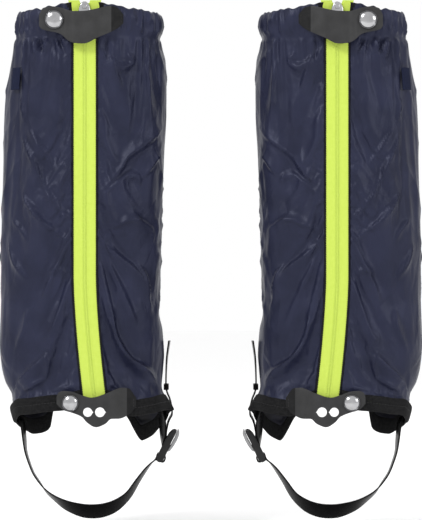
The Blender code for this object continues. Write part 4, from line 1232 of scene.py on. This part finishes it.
def build_keeper():
    """A sewn loop of narrow webbing round the tail."""
    loop = rounded_section(2.05, 11.4, 1.6, 6)
    sections = []
    for k in range(len(loop)):
        here, before, after = loop[k], loop[k - 1], loop[(k + 1) % len(loop)]
        ahead = after - before
        out = np.array([ahead[1], -ahead[0]])
        out /= max(np.linalg.norm(out), 1e-6)
        flat = ((-0.55, -3), (0.4, -3), (0.55, -2.6), (0.55, 2.6), (0.4, 3), (-0.55, 3))
        sections.append([(here[0] + out[0] * a, here[1] + out[1] * a, h) for a, h in flat])
    points = np.concatenate([np.array(s) for s in sections])
    count = len(sections) * len(flat)
    faces = [tuple(k % count for k in face) for face in grid_faces(len(sections), len(flat), wrap=True)]
    keeper = moved(closed_object("keeper", points, faces, "strap", 40), (87.4, STRAP_Y, 25))
    place_pair(keeper, "keeper_loop", "gaiter", ("strap_keeper",))


def build_label():
    """A small plain woven label, folded under at its ends and sewn down."""
    columns, rows = 12, 20
    low, high = 0.845, 0.872
    points = []
    for i in range(columns + 1):
        for j in range(rows + 1):
            z = 332 + 23 * j / rows
            girth = float(wall.girth(z))
            distance = PANEL_START + (low + (high - low) * i / columns) * (girth - 2 * PANEL_START)
            rim = min(i, columns - i) / 2.0
            proud = 2.6 + 0.25 * noise.noise(Vector((i * 0.5, j * 0.3, 5))) - 0.3 * max(0, 1 - rim)
            points.append(wall.point(distance, z, proud))
    label = new_object("label", points, grid_faces(columns, rows), ["label"], 60)
    modify(label, "SOLIDIFY", thickness=0.7 * MM, offset=-1)
    place_pair(label, "plain_label", "gaiter", ("side_label",))


# ---------------------------------------------------------------- stage, light and camera


def build_stage():
    corners = [(x * FLOOR_HALF, y * FLOOR_HALF, 0) for x, y in ((-1, -1), (1, -1), (1, 1), (-1, 1))]
    floor = new_object("floor", corners, [(0, 1, 2, 3)], [])
    look = Look("pale_floor", (0.97, 0.97, 0.97), 0.9)
    floor.data.materials.append(look.material)
    floor.location.z = STAGE_Z


def area_light(name, place, target, size, power):
    data = bpy.data.lights.new(name, "AREA")
    data.size = size
    data.energy = power
    light = linked(name, data)
    light.location = place
    light.rotation_euler = (Vector(target) - Vector(place)).to_track_quat("-Z", "Y").to_euler()


def build_lights():
    middle = (0, 0, 0.18)
    area_light("key", (-1.5, -1.9, 2.0), middle, 0.6, 44)
    area_light("fill", (2.0, -1.6, 1.0), middle, 0.7, 14)
    area_light("back", (0.6, 2.4, 1.6), middle, 0.9, 10)
    background = bpy.data.worlds.new("studio")
    background.use_nodes = True
    background.node_tree.nodes["Background"].inputs["Color"].default_value = (1, 1, 1, 1)
    background.node_tree.nodes["Background"].inputs["Strength"].default_value = 1.0
    bpy.context.scene.world = background
    bpy.context.scene.view_settings.view_transform = "Standard"


def build_camera():
    """A long lens level with the middle of the pair."""
    distance, centre_z, view_height = 3.2, 0.157, 0.5408
    data = bpy.data.cameras.new("camera")
    data.sensor_width = 36
    data.lens = 36 * distance / view_height
    camera = linked("camera", data)
    camera.location = (0, -distance, centre_z)
    camera.rotation_euler = (math.pi / 2, 0, 0)
    bpy.context.scene.camera = camera


build_camera()
build_stage()
build_lights()
build_shell()
build_hem()
build_zip()
build_slider()
build_tabs()
build_straps()
build_buckle()
build_keeper()
build_label()
